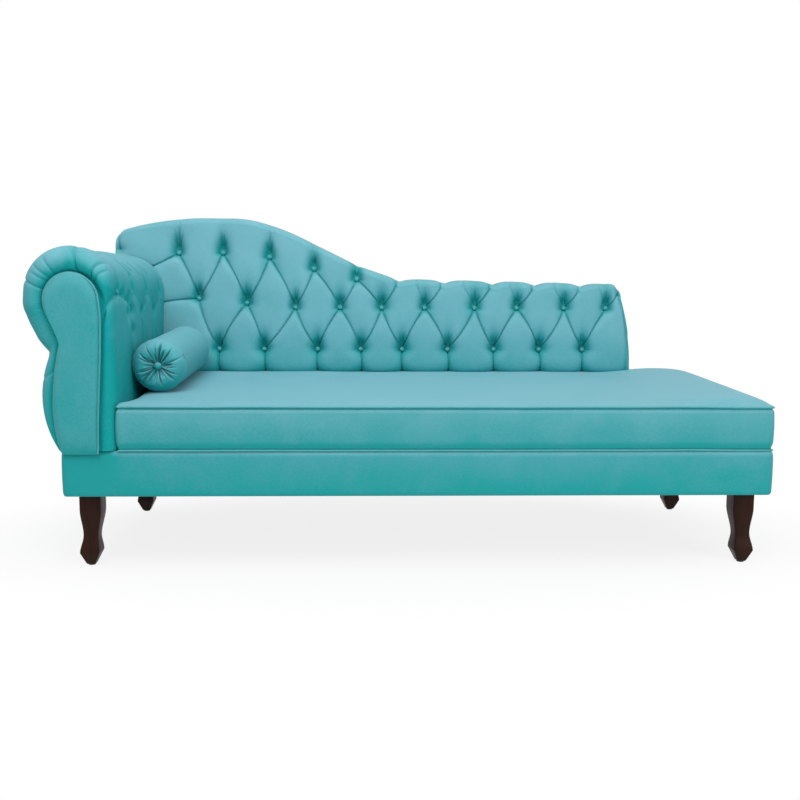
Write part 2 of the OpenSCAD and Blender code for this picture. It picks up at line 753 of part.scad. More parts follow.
module dust_cover_staples() {
    inset = dust_inset + staple_l;
    size = [staple_l, staple_w, staple_t];
    color(steel) {
        for (y = [inset, base_d - inset]) translate([base_l / 2, y, leg_h - staple_t / 2])
            staple_row(base_l - 4 * leg_w - 2 * leg_inset_x, size, 0);
        for (x = [inset, base_l - inset]) translate([x, base_d / 2, leg_h - staple_t / 2])
            staple_row(base_d - 4 * leg_w - 2 * leg_inset_y, size, 90);
    }
}
module rounded_sheet(x0, x1, y0, y1, z0, z1, r) {
    translate([0, 0, z0]) linear_extrude(z1 - z0) union() {
        translate([x0 + r, y0]) square([x1 - x0 - 2 * r, y1 - y0]);
        translate([x0, y0 + r]) square([x1 - x0, y1 - y0 - 2 * r]);
        for (x = [x0 + r, x1 - r]) for (y = [y0 + r, y1 - r]) translate([x, y]) circle(r);
    }
}
// The band turns in under the rails with a lip, and its top edge holds the piping
module base_cover() {
    color(cloth) difference() {
        rounded_sheet(0, base_l, 0, base_d, base_z, base_top, band_r);
        block(rail_x0 - fit_gap, rail_x1 + fit_gap, rail_y0 - fit_gap, rail_y1 + fit_gap,
            rail_z, base_top + overrun);
        block(lip_w, base_l - lip_w, lip_w, base_d - lip_w, base_z - overrun, rail_z + overrun);
        base_pipe(base_pipe_r + fit_gap);
    }
}
module base_pipe(r) {
    in = base_pipe_r - pipe_out;
    tube(edge_path(band_r, band_r, in, base_top), r, [0, 0, 1]);
}
module base_piping() {
    color(cloth_deep) base_pipe(base_pipe_r);
}

// Legs: square in section, with a block, a waist, a bulge and a chamfered foot
function leg_half(z) =
    z > leg_h - leg_block_h ? leg_w / 2
    : z > leg_waist_z
        ? leg_waist_w / 2
            + (leg_w - leg_waist_w) / 2 * smooth((z - leg_waist_z) / (leg_h - leg_block_h - leg_waist_z))
    : z > leg_bulge_z
        ? leg_bulge_w / 2
            - (leg_bulge_w - leg_waist_w) / 2 * smooth((z - leg_bulge_z) / (leg_waist_z - leg_bulge_z))
    : leg_foot_w / 2 + (leg_bulge_w - leg_foot_w) / 2 * (z - glide_t) / (leg_bulge_z - glide_t);
function leg_side(sign, way) =
    [
        for (z = concat(
            [leg_h, leg_h - leg_block_h],
            [for (k = [1 : 6]) leg_h - leg_block_h - (leg_h - leg_block_h - leg_waist_z) * k / 6],
            [for (k = [1 : 5]) leg_waist_z - (leg_waist_z - leg_bulge_z) * k / 5],
            [glide_t]
        )) [sign * leg_half(z) + way * foot_out * smooth(1 - z / (leg_h - leg_block_h)), z]
    ];
function leg_profile(way) = concat(leg_side(-1, way), reversed(leg_side(1, way)));
module leg(way_x, way_y) {
    x = way_x < 0 ? leg_x[0] : leg_x[1];
    y = way_y < 0 ? leg_y[0] : leg_y[1];
    $fn = small_fn;
    color(dark_wood) translate([x, y, 0]) difference() {
        intersection() {
            slab(leg_profile(way_x), -leg_w, leg_w);
            rotate([0, 0, 90]) slab(leg_profile(way_y), -leg_w, leg_w);
        }
        translate([0, 0, leg_h - bolt_down - fit_gap])
            cylinder(h = bolt_down + overrun, r = bolt_r + fit_gap);
        translate([way_x * foot_out, way_y * foot_out, 0])
            cylinder(h = glide_t + glide_pin_h + fit_gap, r = glide_pin_r + fit_gap);
    }
}
module leg_front_left() {
    leg(-1, -1);
}
module leg_front_right() {
    leg(1, -1);
}
module leg_rear_left() {
    leg(-1, 1);
}
module leg_rear_right() {
    leg(1, 1);
}
module leg_bolts() {
    $fn = small_fn;
    color(steel) at_legs() translate([0, 0, leg_h - bolt_down])
        cylinder(h = rail_z + bolt_up - leg_h + bolt_down, r = bolt_r);
}
module leg_tee_nuts() {
    $fn = small_fn;
    color(steel) at_legs() translate([0, 0, rail_z + block_h]) difference() {
        union() {
            cylinder(h = tee_flange_t, r = tee_flange_r);
            translate([0, 0, -tee_barrel_h + fit_gap]) cylinder(h = tee_barrel_h, r = tee_barrel_r);
        }
        translate([0, 0, -tee_barrel_h - overrun])
            cylinder(h = tee_barrel_h + tee_flange_t + 2 * overrun, r = bolt_r + fit_gap);
    }
}
module foot_glides() {
    color(strap_black) for (i = [0, 1]) for (j = [0, 1])
        translate([leg_x[i] + (2 * i - 1) * foot_out, leg_y[j] + (2 * j - 1) * foot_out, 0]) {
            cylinder(h = glide_t, r = glide_r);
            cylinder(h = glide_t + glide_pin_h, r = glide_pin_r, $fn = small_fn);
        }
}

// Seat
module seat_block(gap, z0) {
    block(seat_x0 + seat_foam_inset - gap, seat_x1 - seat_foam_inset + gap, seat_foam_inset - gap,
        seat_rear_short - seat_foam_inset + gap, z0, seat_edge_z - seat_foam_inset + gap);
}
module seat_foam() {
    color(foam) seat_block(0, base_top);
}
module seat_cover() {
    middle = (seat_bottom + seat_edge_z) / 2;
    color(cloth) difference() {
        loft([for (x = seat_stations) seat_ring(x)],
            [seat_x0, base_d / 2, middle], [seat_x1, base_d / 2, middle]);
        seat_block(fit_gap, seat_bottom - overrun);
    }
}
module seat_piping() {
    color(cloth_deep) tube(edge_path(seat_front_r, seat_rear_r, seat_pipe_in, seat_edge_z - seat_pipe_in),
        seat_pipe_r, [0, 0, 1]);
}

// Arm
front_former_y = rail_y0;
rear_former_y = arm_rear_y - soft_gap - former_t;
module former(y) {
    color(ply) slab(arm_core(arm_pad_t + fit_gap, rail_top), y, y + former_t);
}
module arm_front_former() {
    former(front_former_y);
}
module arm_rear_former() {
    former(rear_former_y);
}
// Places of the slats as shares of the way round the arm's outline
arm_slat_shares = [0.17, 0.3, 0.4, 0.5, 0.59, 0.69, 0.84];
module arm_slats() {
    outer = arm_shape(arm_pad_t + lining_t);
    inner = arm_shape(arm_pad_t + lining_t + arm_slat_t);
    color(pine) for (s = arm_slat_shares) {
        i = floor(s * len(outer));
        slab([outer[i], outer[i + 1], inner[i + 1], inner[i]], front_former_y + former_t, rear_former_y);
    }
}
module arm_lining() {
    color(hessian) slab(
        concat(arm_shape(arm_pad_t + fit_gap), reversed(arm_shape(arm_pad_t + lining_t))),
        front_former_y + former_t, rear_former_y);
}
module arm_cover() {
    color(cloth) difference() {
        loft([for (y = arm_stations) arm_ring_at(y)],
            [arm_middle[0], arm_front_y, arm_middle[1]], [arm_middle[0], arm_rear_y, arm_middle[1]]);
        slab(arm_core(arm_pad_t, arm_foot_z - overrun), front_former_y - fit_gap, arm_rear_y + overrun);
    }
}
// The arm's rear end passes beside the back and below its end
module arm_rear_pad() {
    color(cloth) difference() {
        slab(arm_ring, arm_rear_y + soft_gap, base_d);
        block(back_x0 - soft_gap, arm_w + overrun, arm_rear_y, base_d + overrun,
            back_foot_z - soft_gap, roll_z + roll_r + overrun);
        block(back_x0 - soft_gap, arm_w + overrun, back_board_y - soft_gap, base_d + overrun,
            base_z, back_foot_z);
    }
}
// A covered button: its cone lies in the dimple and its dome faces out, along z
module button(r) {
    $fn = small_fn;
    cylinder(h = button_cone_h, r1 = button_tip_r, r2 = r);
    translate([0, 0, button_cone_h]) cylinder(h = button_dome_h, r1 = r, r2 = r / 2);
}
module arm_buttons() {
    places = concat(
        [for (p = arm_upper) [p[0], roll_z]],
        [for (p = arm_lower) [p[0], arm_ring[side_n - 2][1]]]
    );
    color(cloth_deep) for (p = places)
        translate([arm_w - arm_sink + button_gap, p[0], p[1]]) rotate([0, 90, 0]) button(button_d / 2);
}
facing_pad_outline = grown(facing_outline, -2 * facing_pipe_r - soft_gap);
facing_y1 = arm_front_y - soft_gap;
module arm_facing_board() {
    color(ply) slab(grown(facing_pad_outline, -facing_board_inset), facing_y1 - facing_board_t, facing_y1);
}
module arm_facing_pad() {
    depth = facing_proud + facing_y1;
    middle = [arm_middle[0], arm_middle[1]];
    rings = [
        for (s = facing_crown_shares)
            [for (p = grown(facing_pad_outline, -facing_crown_inset * s[0]))
                [p[0], facing_y1 - depth * s[1], p[1]]]
    ];
    color(cloth) difference() {
        loft(rings, [middle[0], -facing_proud, middle[1]], [middle[0], facing_y1, middle[1]]);
        slab(grown(facing_pad_outline, fit_gap - facing_board_inset),
            facing_y1 - facing_board_t - fit_gap, facing_y1 + overrun);
    }
}
module arm_facing_piping() {
    edge = grown(facing_outline, -facing_pipe_r);
    y = facing_y1 - facing_pipe_r;
    path = [for (i = [0 : len(arm_open) - 1]) [edge[i][0], y, edge[i][1]]];
    color(cloth_deep) tube(path, facing_pipe_r, [0, 1, 0]);
}

// Back frame
module back_sill() {
    color(pine) difference() {
        block(back_x0 + back_margin, back_x1 - back_margin, back_frame_y, back_rear_y,
            sill_z, sill_z + sill_h);
        at_sill_screws() screw_hole();
    }
}
module back_sill_screws() {
    color(steel) at_sill_screws() screw();
}
module back_uprights() {
    color(pine) for (s = post_shares) {
        x = back_x(s);
        top = back_line(x) - scallop - back_margin - back_rail_h / 2;
        block(x - post_w / 2, x + post_w / 2, back_rear_y - post_d, back_rear_y, sill_z + sill_h, top);
    }
}
module back_top_rail() {
    edge = back_edge(back_margin + fit_gap);
    color(pine) slab(
        concat(edge, reversed([for (p = edge) p - [0, back_rail_h]])),
        back_frame_y, back_rear_y - post_d);
}
module back_board() {
    color(ply) slab(back_core(back_margin + fit_gap, sill_z), back_board_y, back_frame_y);
}
module back_foam() {
    color(foam) slab(back_inner(back_margin + fit_gap), back_foam_y, back_board_y);
}
module back_cover() {
    middle_y = base_d - back_t / 2;
    color(cloth) difference() {
        loft([for (c = back_stations) back_ring(c)],
            [back_x0, middle_y, row_c_z], [back_x1, middle_y, row_c_z]);
        slab(back_core(back_margin, back_foot_z - overrun), back_foam_y - fit_gap, back_rear_y + overrun);
    }
}
module back_buttons() {
    color(cloth_deep) for (p = back_points)
        translate([taper(p[0], p[1]), back_front(p[0], p[1]) - button_gap, p[1]])
            rotate([90, 0, 0]) button(button_d / 2);
}
module back_outside_cover() {
    edge = back_edge(outside_margin);
    color(cloth) slab(
        concat([[back_x1 - outside_margin, seat_bottom]], edge, [[back_x0 + outside_margin, seat_bottom]]),
        back_rear_y, base_d);
}

// Bolster, tilted to lie along the seat's slope
bolster_mid_y = bolster_front_y + bolster_l / 2;
bolster_rise = seat_z(bolster_x, bolster_mid_y + overrun) - seat_z(bolster_x, bolster_mid_y - overrun);
bolster_tilt = atan(bolster_rise / (2 * overrun));
module at_bolster() {
    translate([bolster_x, bolster_mid_y, seat_z(bolster_x, bolster_mid_y) + soft_gap])
        rotate([bolster_tilt, 0, 0]) translate([0, 0, bolster_r + soft_gap]) rotate([-90, 0, 0]) children();
}
bolster_half = bolster_l / 2;
bolster_core_half = bolster_half - bolster_dish - bolster_wall;
bolster_shares = [[0.16, 0, 0], [0.5, 0.35, 1], [0.82, 0.85, 0.6], [0.96, 1, 0]];
// A ring of the bolster's end: share of the radius, share of the dish, share of the gathers' depth
function bolster_ring(share, end) =
    [
        for (k = [0 : 2 * gather_count - 1])
            let (
                a = 180 * k / gather_count,
                z = bolster_half - bolster_dish * (1 - share[1]) - gather_deep * share[2] * (k % 2)
            ) [bolster_r * share[0] * cos(a), bolster_r * share[0] * sin(a), end * z]
    ];
function bolster_body(t) =
    [
        for (k = [0 : 2 * gather_count - 1])
            let (a = 180 * k / gather_count) [bolster_r * cos(a), bolster_r * sin(a), t]
    ];
module bolster_core() {
    color(foam) at_bolster()
        cylinder(h = 2 * bolster_core_half, r = bolster_r - bolster_wall, center = true);
}
module bolster_cover() {
    body = bolster_half * bolster_body_share;
    rings = concat(
        [for (s = bolster_shares) bolster_ring(s, 1)],
        [bolster_body(body), bolster_body(-body)],
        [for (s = reversed(bolster_shares)) bolster_ring(s, -1)]
    );
    color(cloth) at_bolster() difference() {
        loft(rings, [0, 0, bolster_half - bolster_dish], [0, 0, bolster_dish - bolster_half]);
        cylinder(h = 2 * (bolster_core_half + fit_gap), r = bolster_r - bolster_wall + fit_gap,
            center = true);
    }
}
module bolster_buttons() {
    color(cloth_deep) at_bolster() for (turn = [0, 180]) rotate([turn, 0, 0])
        translate([0, 0, bolster_half - bolster_dish + fit_gap]) {
            cylinder(h = button_dome_h, r = bolster_button_r);
            translate([0, 0, button_dome_h])
                cylinder(h = button_dome_h, r1 = bolster_button_r, r2 = bolster_button_r / 2);
        }
}

place() base_front_rail();
place() base_rear_rail();
place() base_left_rail();
place() base_arm_rail();
place() base_right_rail();
place() base_cross_slats();
place() corner_blocks();
place() frame_screws();
place() webbing_cross();
place() webbing_long();
place() deck_cloth();
place() dust_cover();
place() dust_cover_staples();
place() base_cover();
place() base_piping();
place() leg_front_left();
place() leg_front_right();
place() leg_rear_left();
place() leg_rear_right();
place() leg_bolts();
place() leg_tee_nuts();
place() foot_glides();
place() seat_foam();
place() seat_cover();
place() seat_piping();
place() arm_front_former();
place() arm_rear_former();
place() arm_slats();
place() arm_lining();
place() arm_cover();
place() arm_rear_pad();
place() arm_buttons();
place() arm_facing_board();
place() arm_facing_pad();
place() arm_facing_piping();
place() back_sill();
place() back_sill_screws();
place() back_uprights();
place() back_top_rail();
place() back_board();
place() back_foam();
place() back_cover();
place() back_buttons();
place() back_outside_cover();
place() bolster_core();
place() bolster_cover();
place() bolster_buttons();
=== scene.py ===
"""A fainting couch in turquoise velvet: scroll arm, buttoned back, piped seat, wood legs and a bolster."""

import math

import bmesh
import bpy
import numpy as np
from mathutils import Matrix, Vector


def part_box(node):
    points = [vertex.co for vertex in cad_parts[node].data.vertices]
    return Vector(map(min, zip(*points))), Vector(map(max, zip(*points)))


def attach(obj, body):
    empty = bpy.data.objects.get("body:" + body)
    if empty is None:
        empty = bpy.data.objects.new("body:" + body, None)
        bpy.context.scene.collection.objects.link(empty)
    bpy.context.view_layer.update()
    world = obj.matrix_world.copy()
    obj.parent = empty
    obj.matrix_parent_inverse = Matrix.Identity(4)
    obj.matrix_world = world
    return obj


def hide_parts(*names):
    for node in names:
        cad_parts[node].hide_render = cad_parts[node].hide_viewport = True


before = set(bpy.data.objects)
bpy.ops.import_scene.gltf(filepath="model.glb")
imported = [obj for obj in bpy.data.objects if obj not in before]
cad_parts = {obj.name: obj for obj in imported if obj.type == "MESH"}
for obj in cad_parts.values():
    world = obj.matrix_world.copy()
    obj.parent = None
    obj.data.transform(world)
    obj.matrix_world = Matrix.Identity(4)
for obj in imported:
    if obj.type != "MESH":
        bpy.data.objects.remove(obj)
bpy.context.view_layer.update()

# Corners of the CAD nodes' boxes, in metres
base_lo, base_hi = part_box("base_cover")
seat_lo, seat_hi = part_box("seat_cover")
back_lo, back_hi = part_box("back_cover")
arm_lo, arm_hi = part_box("arm_cover")
rear_pad_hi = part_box("arm_rear_pad")[1]
facing_lo, facing_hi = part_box("arm_facing_pad")
outside_lo, outside_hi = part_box("back_outside_cover")
dust_lo, dust_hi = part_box("dust_cover")
seat_pipe_lo, seat_pipe_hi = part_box("seat_piping")
base_pipe_lo, base_pipe_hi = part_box("base_piping")
facing_pipe_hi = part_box("arm_facing_piping")[1]

# Camera, from the photograph
camera_at = Vector((-0.0819, -2.6185, 0.6946))
camera_yaw = -0.0294
camera_pitch = 0.1167
camera_roll = 0.0039
camera_lens = 42.11
camera_sensor = 36

# The distance at which a seam is sewn, and the gap between soft pieces that touch, in metres
seam = 1e-6
soft_gap = 0.0003


# Small helpers on numbers and points


def smooth(t):
    """Eases from 0 to 1."""
    t = np.clip(t, 0, 1)
    return t * t * (3 - 2 * t)


def unit(v):
    """Vectors of length 1."""
    return v / np.maximum(np.linalg.norm(v, axis=-1, keepdims=True), 1e-12)


def grid_normals(rings, loop=False):
    """The outward direction at each point of a grid of points; a loop's last column repeats its first."""
    along = np.gradient(rings, axis=0)
    across = np.gradient(rings, axis=1)
    if loop:
        turn = (rings[:, 1] - rings[:, -2]) / 2
        across[:, 0] = turn
        across[:, -1] = turn
    return unit(np.cross(along, across))


def line_distance(p, q, a, b):
    """How far the points (p, q) are from the stretch a to b, along it, 0 to 1, and above it, -1 to 1."""
    ab = np.array(b, float) - np.array(a, float)
    t = np.clip(((p - a[0]) * ab[0] + (q - a[1]) * ab[1]) / (ab @ ab), 0, 1)
    d = np.hypot(p - a[0] - t * ab[0], q - a[1] - t * ab[1])
    across = ((q - a[1]) * ab[0] - (p - a[0]) * ab[1]) * (1 if ab[0] > 0 else -1) / np.hypot(*ab)
    return d, t, across / np.maximum(d, 1e-9)


def quarter_drop(d, r):
    """Drop of a rounded edge of radius r, at the distance d inward of it."""
    d = np.clip(d, 0, r)
    return r - np.sqrt(np.maximum(r * r - (r - d) ** 2, 0))


def ripple(x, y, scale, seed):
    """A slow unevenness between about -1 and 1, made of a few crossing waves."""
    waves = np.random.default_rng(seed)
    total = 0
    for _ in range(7):
        angle = waves.uniform(0, math.pi)
        length = scale * waves.uniform(0.7, 1.9)
        shift = waves.uniform(0, 2 * math.pi)
        total = total + np.sin(2 * math.pi * (x * math.cos(angle) + y * math.sin(angle)) / length + shift)
    return total / 3.5


# Making pieces


def points(x, y, z):
    """Points from three coordinates, spread to one shape."""
    return np.stack(np.broadcast_arrays(x, y, z), -1)


def at_height(plan, z):
    """The points of a plan in x and y, at a height."""
    return np.column_stack([plan, np.full(len(plan), z)])


def at_depth(outline, y):
    """The points of an outline in x and z, at a place along y."""
    return np.column_stack([outline[:, 0], np.full(len(outline), y), outline[:, 1]])


def shares(n):
    """The even shares of a whole, from 1/n to 1."""
    return np.linspace(0, 1, n + 1)[1:]


def plan_corner(cx, cy, r, start, end, n):
    """Points of a round corner about a middle, between two angles in degrees."""
    a = np.radians(np.linspace(start, end, n))
    return np.stack([cx + r * np.cos(a), cy + r * np.sin(a)], 1)


def rounded_plan(x0, x1, y0, y1, r, n, first):
    """The plan of a rounded rectangle, as corners of n points each, from the first quarter turn on."""
    middles = [(x1 - r, y1 - r), (x0 + r, y1 - r), (x0 + r, y0 + r), (x1 - r, y0 + r)]
    turns = [(first + k) % 4 for k in range(4)]
    return np.vstack([plan_corner(*middles[q], r, 90 * q, 90 * q + 90, n) for q in turns])


def grid_sheet(rings, painted_light=None):
    """A bmesh grid moved onto rings of points. painted_light is the painted light and shade at each point:
    pale where lit, dark where shaded.
    """
    rows, columns = rings.shape[:2]
    bm = bmesh.new()
    bmesh.ops.create_grid(bm, x_segments=columns - 1, y_segments=rows - 1, size=1)
    for v, p in zip(bm.verts, rings.reshape(-1, 3)):
        v.co = p
    if painted_light is not None:
        layer = bm.verts.layers.float.new("painted_light")
        for v, value in zip(bm.verts, np.broadcast_to(painted_light, (rows, columns)).ravel()):
            v[layer] = value
    return bm


def closed_skin(rings, caps=True, painted_light=None):
    """A grid whose rings close on themselves, sewn along its seam, with its open ends filled."""
    bm = grid_sheet(rings, painted_light)
    bmesh.ops.remove_doubles(bm, verts=[v for v in bm.verts if v.is_boundary], dist=seam)
    if caps:
        bmesh.ops.holes_fill(bm, edges=[e for e in bm.edges if e.is_boundary], sides=0)
    return bm


def paint_light(bm, level, up):
    """Paints light and shade about a level: pale where it faces up, as if lit from above, and dark where it
    faces down, as if in shade.
    """
    layer = bm.verts.layers.float.get("painted_light") or bm.verts.layers.float.new("painted_light")
    bm.normal_update()
    for v in bm.verts:
        v[layer] = min(1.0, max(0.0, level + v[layer] + up * v.normal.z))


def mesh_from(bm, name):
    """A mesh with a bmesh's shape; the bmesh is freed."""
    mesh = bpy.data.meshes.new(name)
    bm.to_mesh(mesh)
    bm.free()
    return mesh


def put_in_scene(name, data):
    item = bpy.data.objects.new(name, data)
    bpy.context.scene.collection.objects.link(item)
    return item


def make_piece(name, bm, material, node, body="couch", painted_lighting=None):
    """Makes a bmesh the piece that stands for a CAD node. painted_lighting is its painted light: a level and
    a gain where it faces up.
    """
    bmesh.ops.recalc_face_normals(bm, faces=bm.faces)
    if painted_lighting:
        paint_light(bm, *painted_lighting)
    for f in bm.faces:
        f.smooth = True
    mesh = mesh_from(bm, name)
    mesh.materials.append(material)
    piece = put_in_scene(name, mesh)
    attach(piece, body)
    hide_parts(node)
    return piece


def make_pad(name, bm, node, painted_lighting, material=None, body="couch"):
    """A padded piece covered in velvet."""
    make_piece(name, bm, material or velvet_cloth, node, body, painted_lighting)


def tube(path, radius, sides=10):
    """Rings round a path of points, for piping."""
    run = unit(np.gradient(path, axis=0))
    up = np.tile([0.0, 0.0, 1.0], (len(path), 1))
    upright = np.abs(run[:, 2]) > 0.9
    up[upright] = [0, 1, 0]
    side = unit(np.cross(run, up))
    up = np.cross(side, run)
    turn = np.linspace(0, 2 * math.pi, sides + 1)[None, :, None]
    return path[:, None] + radius * (np.cos(turn) * side[:, None] + np.sin(turn) * up[:, None])


def evenly(path, step, closed=False):
    """A path with its points about a step apart."""
    if closed:
        path = np.vstack([path, path[:1]])
    reach = reach_along(path)
    at = np.linspace(0, reach[-1], max(2, int(round(reach[-1] / step))) + 1)
    return np.stack([np.interp(at, reach, path[:, k]) for k in range(path.shape[1])], 1)


def reach_along(path):
    """Distance of each point of a path from its start."""
    return np.concatenate([[0], np.cumsum(np.linalg.norm(np.diff(path, axis=0), axis=1))])


# Materials


def shader(name, **inputs):
    """A material with the plain values of its Principled BSDF set on its own sockets."""
    material = bpy.data.materials.new(name)
    material.use_nodes = True
    bsdf = material.node_tree.nodes["Principled BSDF"]
    for key, value in inputs.items():
        bsdf.inputs[key.replace("_", " ")].default_value = value
    return material, material.node_tree, bsdf


def add(tree, kind, *by_place, settings=None, **by_name):
    """A node with its settings. Each of its inputs gets a plain value, or a link to another node's socket."""
    node = tree.nodes.new("ShaderNode" + kind)
    for key, value in (settings or {}).items():
        setattr(node, key, value)
    named = [(key.replace("_", " "), value) for key, value in by_name.items()]
    for place, value in [*enumerate(by_place), *named]:
        if isinstance(value, bpy.types.NodeSocket):
            tree.links.new(value, node.inputs[place])
        else:
            node.inputs[place].default_value = value
    return node


def sum_of(tree, operation, *values, clamp=False):
    """The result of a Math node."""
    return add(tree, "Math", *values, settings={"operation": operation, "use_clamp": clamp}).outputs[0]


def noise(tree, point, **inputs):
    return add(tree, "TexNoise", Vector=point, **inputs).outputs["Fac"]


def ranged(tree, value, interpolation="LINEAR", **ends):
    """A value moved from one range to another."""
    settings = {"interpolation_type": interpolation}
    return add(tree, "MapRange", settings=settings, Value=value, **ends).outputs["Result"]


def mixed(tree, share, first, second):
    """The first colour where the share is 0, and the second where it is 1."""
    settings = {"data_type": "RGBA"}
    return add(tree, "Mix", settings=settings, Factor=share, A=first, B=second).outputs["Result"]


def effect(name, inputs, outputs):
    """An empty shader node group, with the sockets that it is given and those that it puts out."""
    group = bpy.data.node_groups.new(name, "ShaderNodeTree")
    for label, kind, value in inputs:
        socket = group.interface.new_socket(label, in_out="INPUT", socket_type="NodeSocket" + kind)
        if value is not None:
            socket.default_value = value
    for label in outputs:
        kind = "Color" if label == "Color" else "Float"
        group.interface.new_socket(label, in_out="OUTPUT", socket_type="NodeSocket" + kind)
    return group, group.nodes.new("NodeGroupInput").outputs, group.nodes.new("NodeGroupOutput").inputs


def put_out(group, out, **values):
    """Links the values to the sockets that a group puts out."""
    for label, value in values.items():
        group.links.new(value, out[label])
    return group


def pile_effect():
    """Velvet's short pile: brushed patches, small lint-like specks and a fine nap, over painted light and
    shade that mix the fold colour, the cloth colour and the lit colour.
    """
    group, given, out = effect(
        "short_pile",
        [
            ("Point", "Vector", None),
            ("Fold", "Color", (0.4, 0.4, 0.4, 1)),
            ("Cloth", "Color", (0.5, 0.5, 0.5, 1)),
            ("Lit", "Color", (0.6, 0.6, 0.6, 1)),
            ("Lift", "Float", 0.5),
            ("Patch size", "Float", 9.0),
            ("Nap size", "Float", 900.0),
        ],
        ["Color", "Roughness", "Height"],
    )
    point = given["Point"]
    patch = noise(group, point, Scale=given["Patch size"], Detail=5, Roughness=0.6, Distortion=0.4)
    nap = noise(group, point, Scale=given["Nap size"], Detail=3, Roughness=0.7)
    thread = noise(group, point, Scale=260, Detail=2, Roughness=0.5)
    patches = ranged(group, patch, From_Min=0.36, From_Max=0.68, To_Min=-0.10, To_Max=0.08)
    specks = ranged(group, thread, From_Min=0.3, From_Max=0.7, To_Min=-0.07, To_Max=0.07)
    painted_light = sum_of(group, "ADD", sum_of(group, "ADD", patches, specks), given["Lift"], clamp=True)
    # Painted shade: the fold colour where the painted lighting is low; painted light: the lit colour where it
    # is high.
    cloth = mixed(group, ranged(group, painted_light, From_Max=0.25), given["Fold"], given["Cloth"])
    return put_out(
        group,
        out,
        Color=mixed(group, painted_light, cloth, given["Lit"]),
        Roughness=ranged(group, patch, From_Min=0.3, From_Max=0.7, To_Min=0.58, To_Max=0.74),
        Height=sum_of(group, "MULTIPLY_ADD", thread, 0.5, nap),
    )


def weave_effect():
    """A plain weave of crossing yarns, as a height and as a mask between yarns."""
    inputs = [("Point", "Vector", None), ("Yarns per metre", "Float", 600.0)]
    group, given, out = effect("plain_weave", inputs, ["Height", "Gap"])
    scale = given["Yarns per metre"]
    scaled = add(group, "VectorMath", given["Point"], settings={"operation": "SCALE"}, Scale=scale)
    split = add(group, "SeparateXYZ", scaled.outputs[0]).outputs
    x, y, z = (sum_of(group, "ABSOLUTE", sum_of(group, "SINE", split[axis])) for axis in "XYZ")
    yarns = sum_of(group, "ADD", sum_of(group, "MULTIPLY", x, y), z)
    gap = ranged(group, yarns, From_Min=0.0, From_Max=0.5, To_Min=1.0, To_Max=0.0)
    return put_out(group, out, Height=yarns, Gap=gap)


def grain_effect():
    """Wood grain: long fibres along an axis, broad growth bands and fine pores."""
    inputs = [
        ("Point", "Vector", None),
        ("Stretch", "Vector", (1, 1, 1)),
        ("Early wood", "Color", (0.5, 0.5, 0.5, 1)),
        ("Late wood", "Color", (0.3, 0.3, 0.3, 1)),
    ]
    group, given, out = effect("wood_grain", inputs, ["Color", "Roughness", "Height"])
    pulled = add(group, "VectorMath", given["Point"], given["Stretch"], settings={"operation": "MULTIPLY"})
    bands = noise(group, pulled.outputs[0], Scale=14, Detail=6, Roughness=0.62, Distortion=1.6)
    pores = noise(group, pulled.outputs[0], Scale=90, Detail=4, Roughness=0.7)
    tone = ranged(group, bands, From_Min=0.34, From_Max=0.66)
    colour = mixed(group, tone, given["Early wood"], given["Late wood"])
    rough = ranged(group, pores, From_Min=0.3, From_Max=0.7, To_Min=0.32, To_Max=0.5)
    return put_out(group, out, Color=colour, Roughness=rough, Height=pores)


pile_group = pile_effect()
weave_group = weave_effect()
grain_group = grain_effect()


def object_point(tree):
    return add(tree, "TexCoord").outputs["Object"]


def place_effect(tree, group, **inputs):
    """What an effect puts out at each point of the piece."""
    return add(tree, "Group", settings={"node_tree": group}, Point=object_point(tree), **inputs).outputs


def dress(tree, bsdf, colour, height, distance, strength=1.0, roughness=None):
    """Joins a colour, a height as a bump and perhaps a roughness to the shader."""
    bump = add(tree, "Bump", Strength=strength, Distance=distance, Height=height)
    tree.links.new(colour, bsdf.inputs["Base Color"])
    tree.links.new(bump.outputs["Normal"], bsdf.inputs["Normal"])
    if roughness is not None:
        tree.links.new(roughness, bsdf.inputs["Roughness"])


# The velvet's colour in painted shade, in its folds and hollows.
fold_colour = (0.004, 0.355, 0.360, 1)
sheen_tint = (0.84, 0.92, 1.0, 1)


def velvet(name, deep, pale, patch_size=9.0, specular=0.30, sheen=0.10):
    """Turquoise velvet, from its rich colour in folds to a pale colour, mixed by painted light and shade: the
    pale colour is a painted lit copy.
    """
    material, tree, bsdf = shader(
        name, Specular_IOR_Level=specular, Sheen_Weight=sheen, Sheen_Roughness=0.5, Sheen_Tint=sheen_tint
    )
    # The painted light and shade that each piece keeps in its points.
    painted_light = add(tree, "Attribute", settings={"attribute_name": "painted_light"}).outputs["Fac"]
    colours = {"Fold": fold_colour, "Cloth": deep, "Lit": pale}
    look = place_effect(tree, pile_group, Patch_size=patch_size, Lift=painted_light, **colours)
    dress(tree, bsdf, look["Color"], look["Height"], 0.0004, strength=0.35, roughness=look["Roughness"])
    return material


def wood(name, early, late, stretch, coat=0.0, specular=0.5):
    """Wood with its fibres along the axis of the smallest stretch."""
    material, tree, bsdf = shader(name, Specular_IOR_Level=specular, Coat_Weight=coat, Coat_Roughness=0.28)
    look = place_effect(tree, grain_group, Stretch=stretch, Early_wood=early, Late_wood=late)
    dress(tree, bsdf, look["Color"], look["Height"], 0.0002, strength=0.4, roughness=look["Roughness"])
    return material


def woven(name, yarn, shade, yarns):
    """A woven cloth, darker between its yarns."""
    material, tree, bsdf = shader(name, Specular_IOR_Level=0.3, Roughness=0.9)
    look = place_effect(tree, weave_group, Yarns_per_metre=yarns)
    dress(tree, bsdf, mixed(tree, look["Gap"], yarn, shade), look["Height"], 0.0004)
    return material


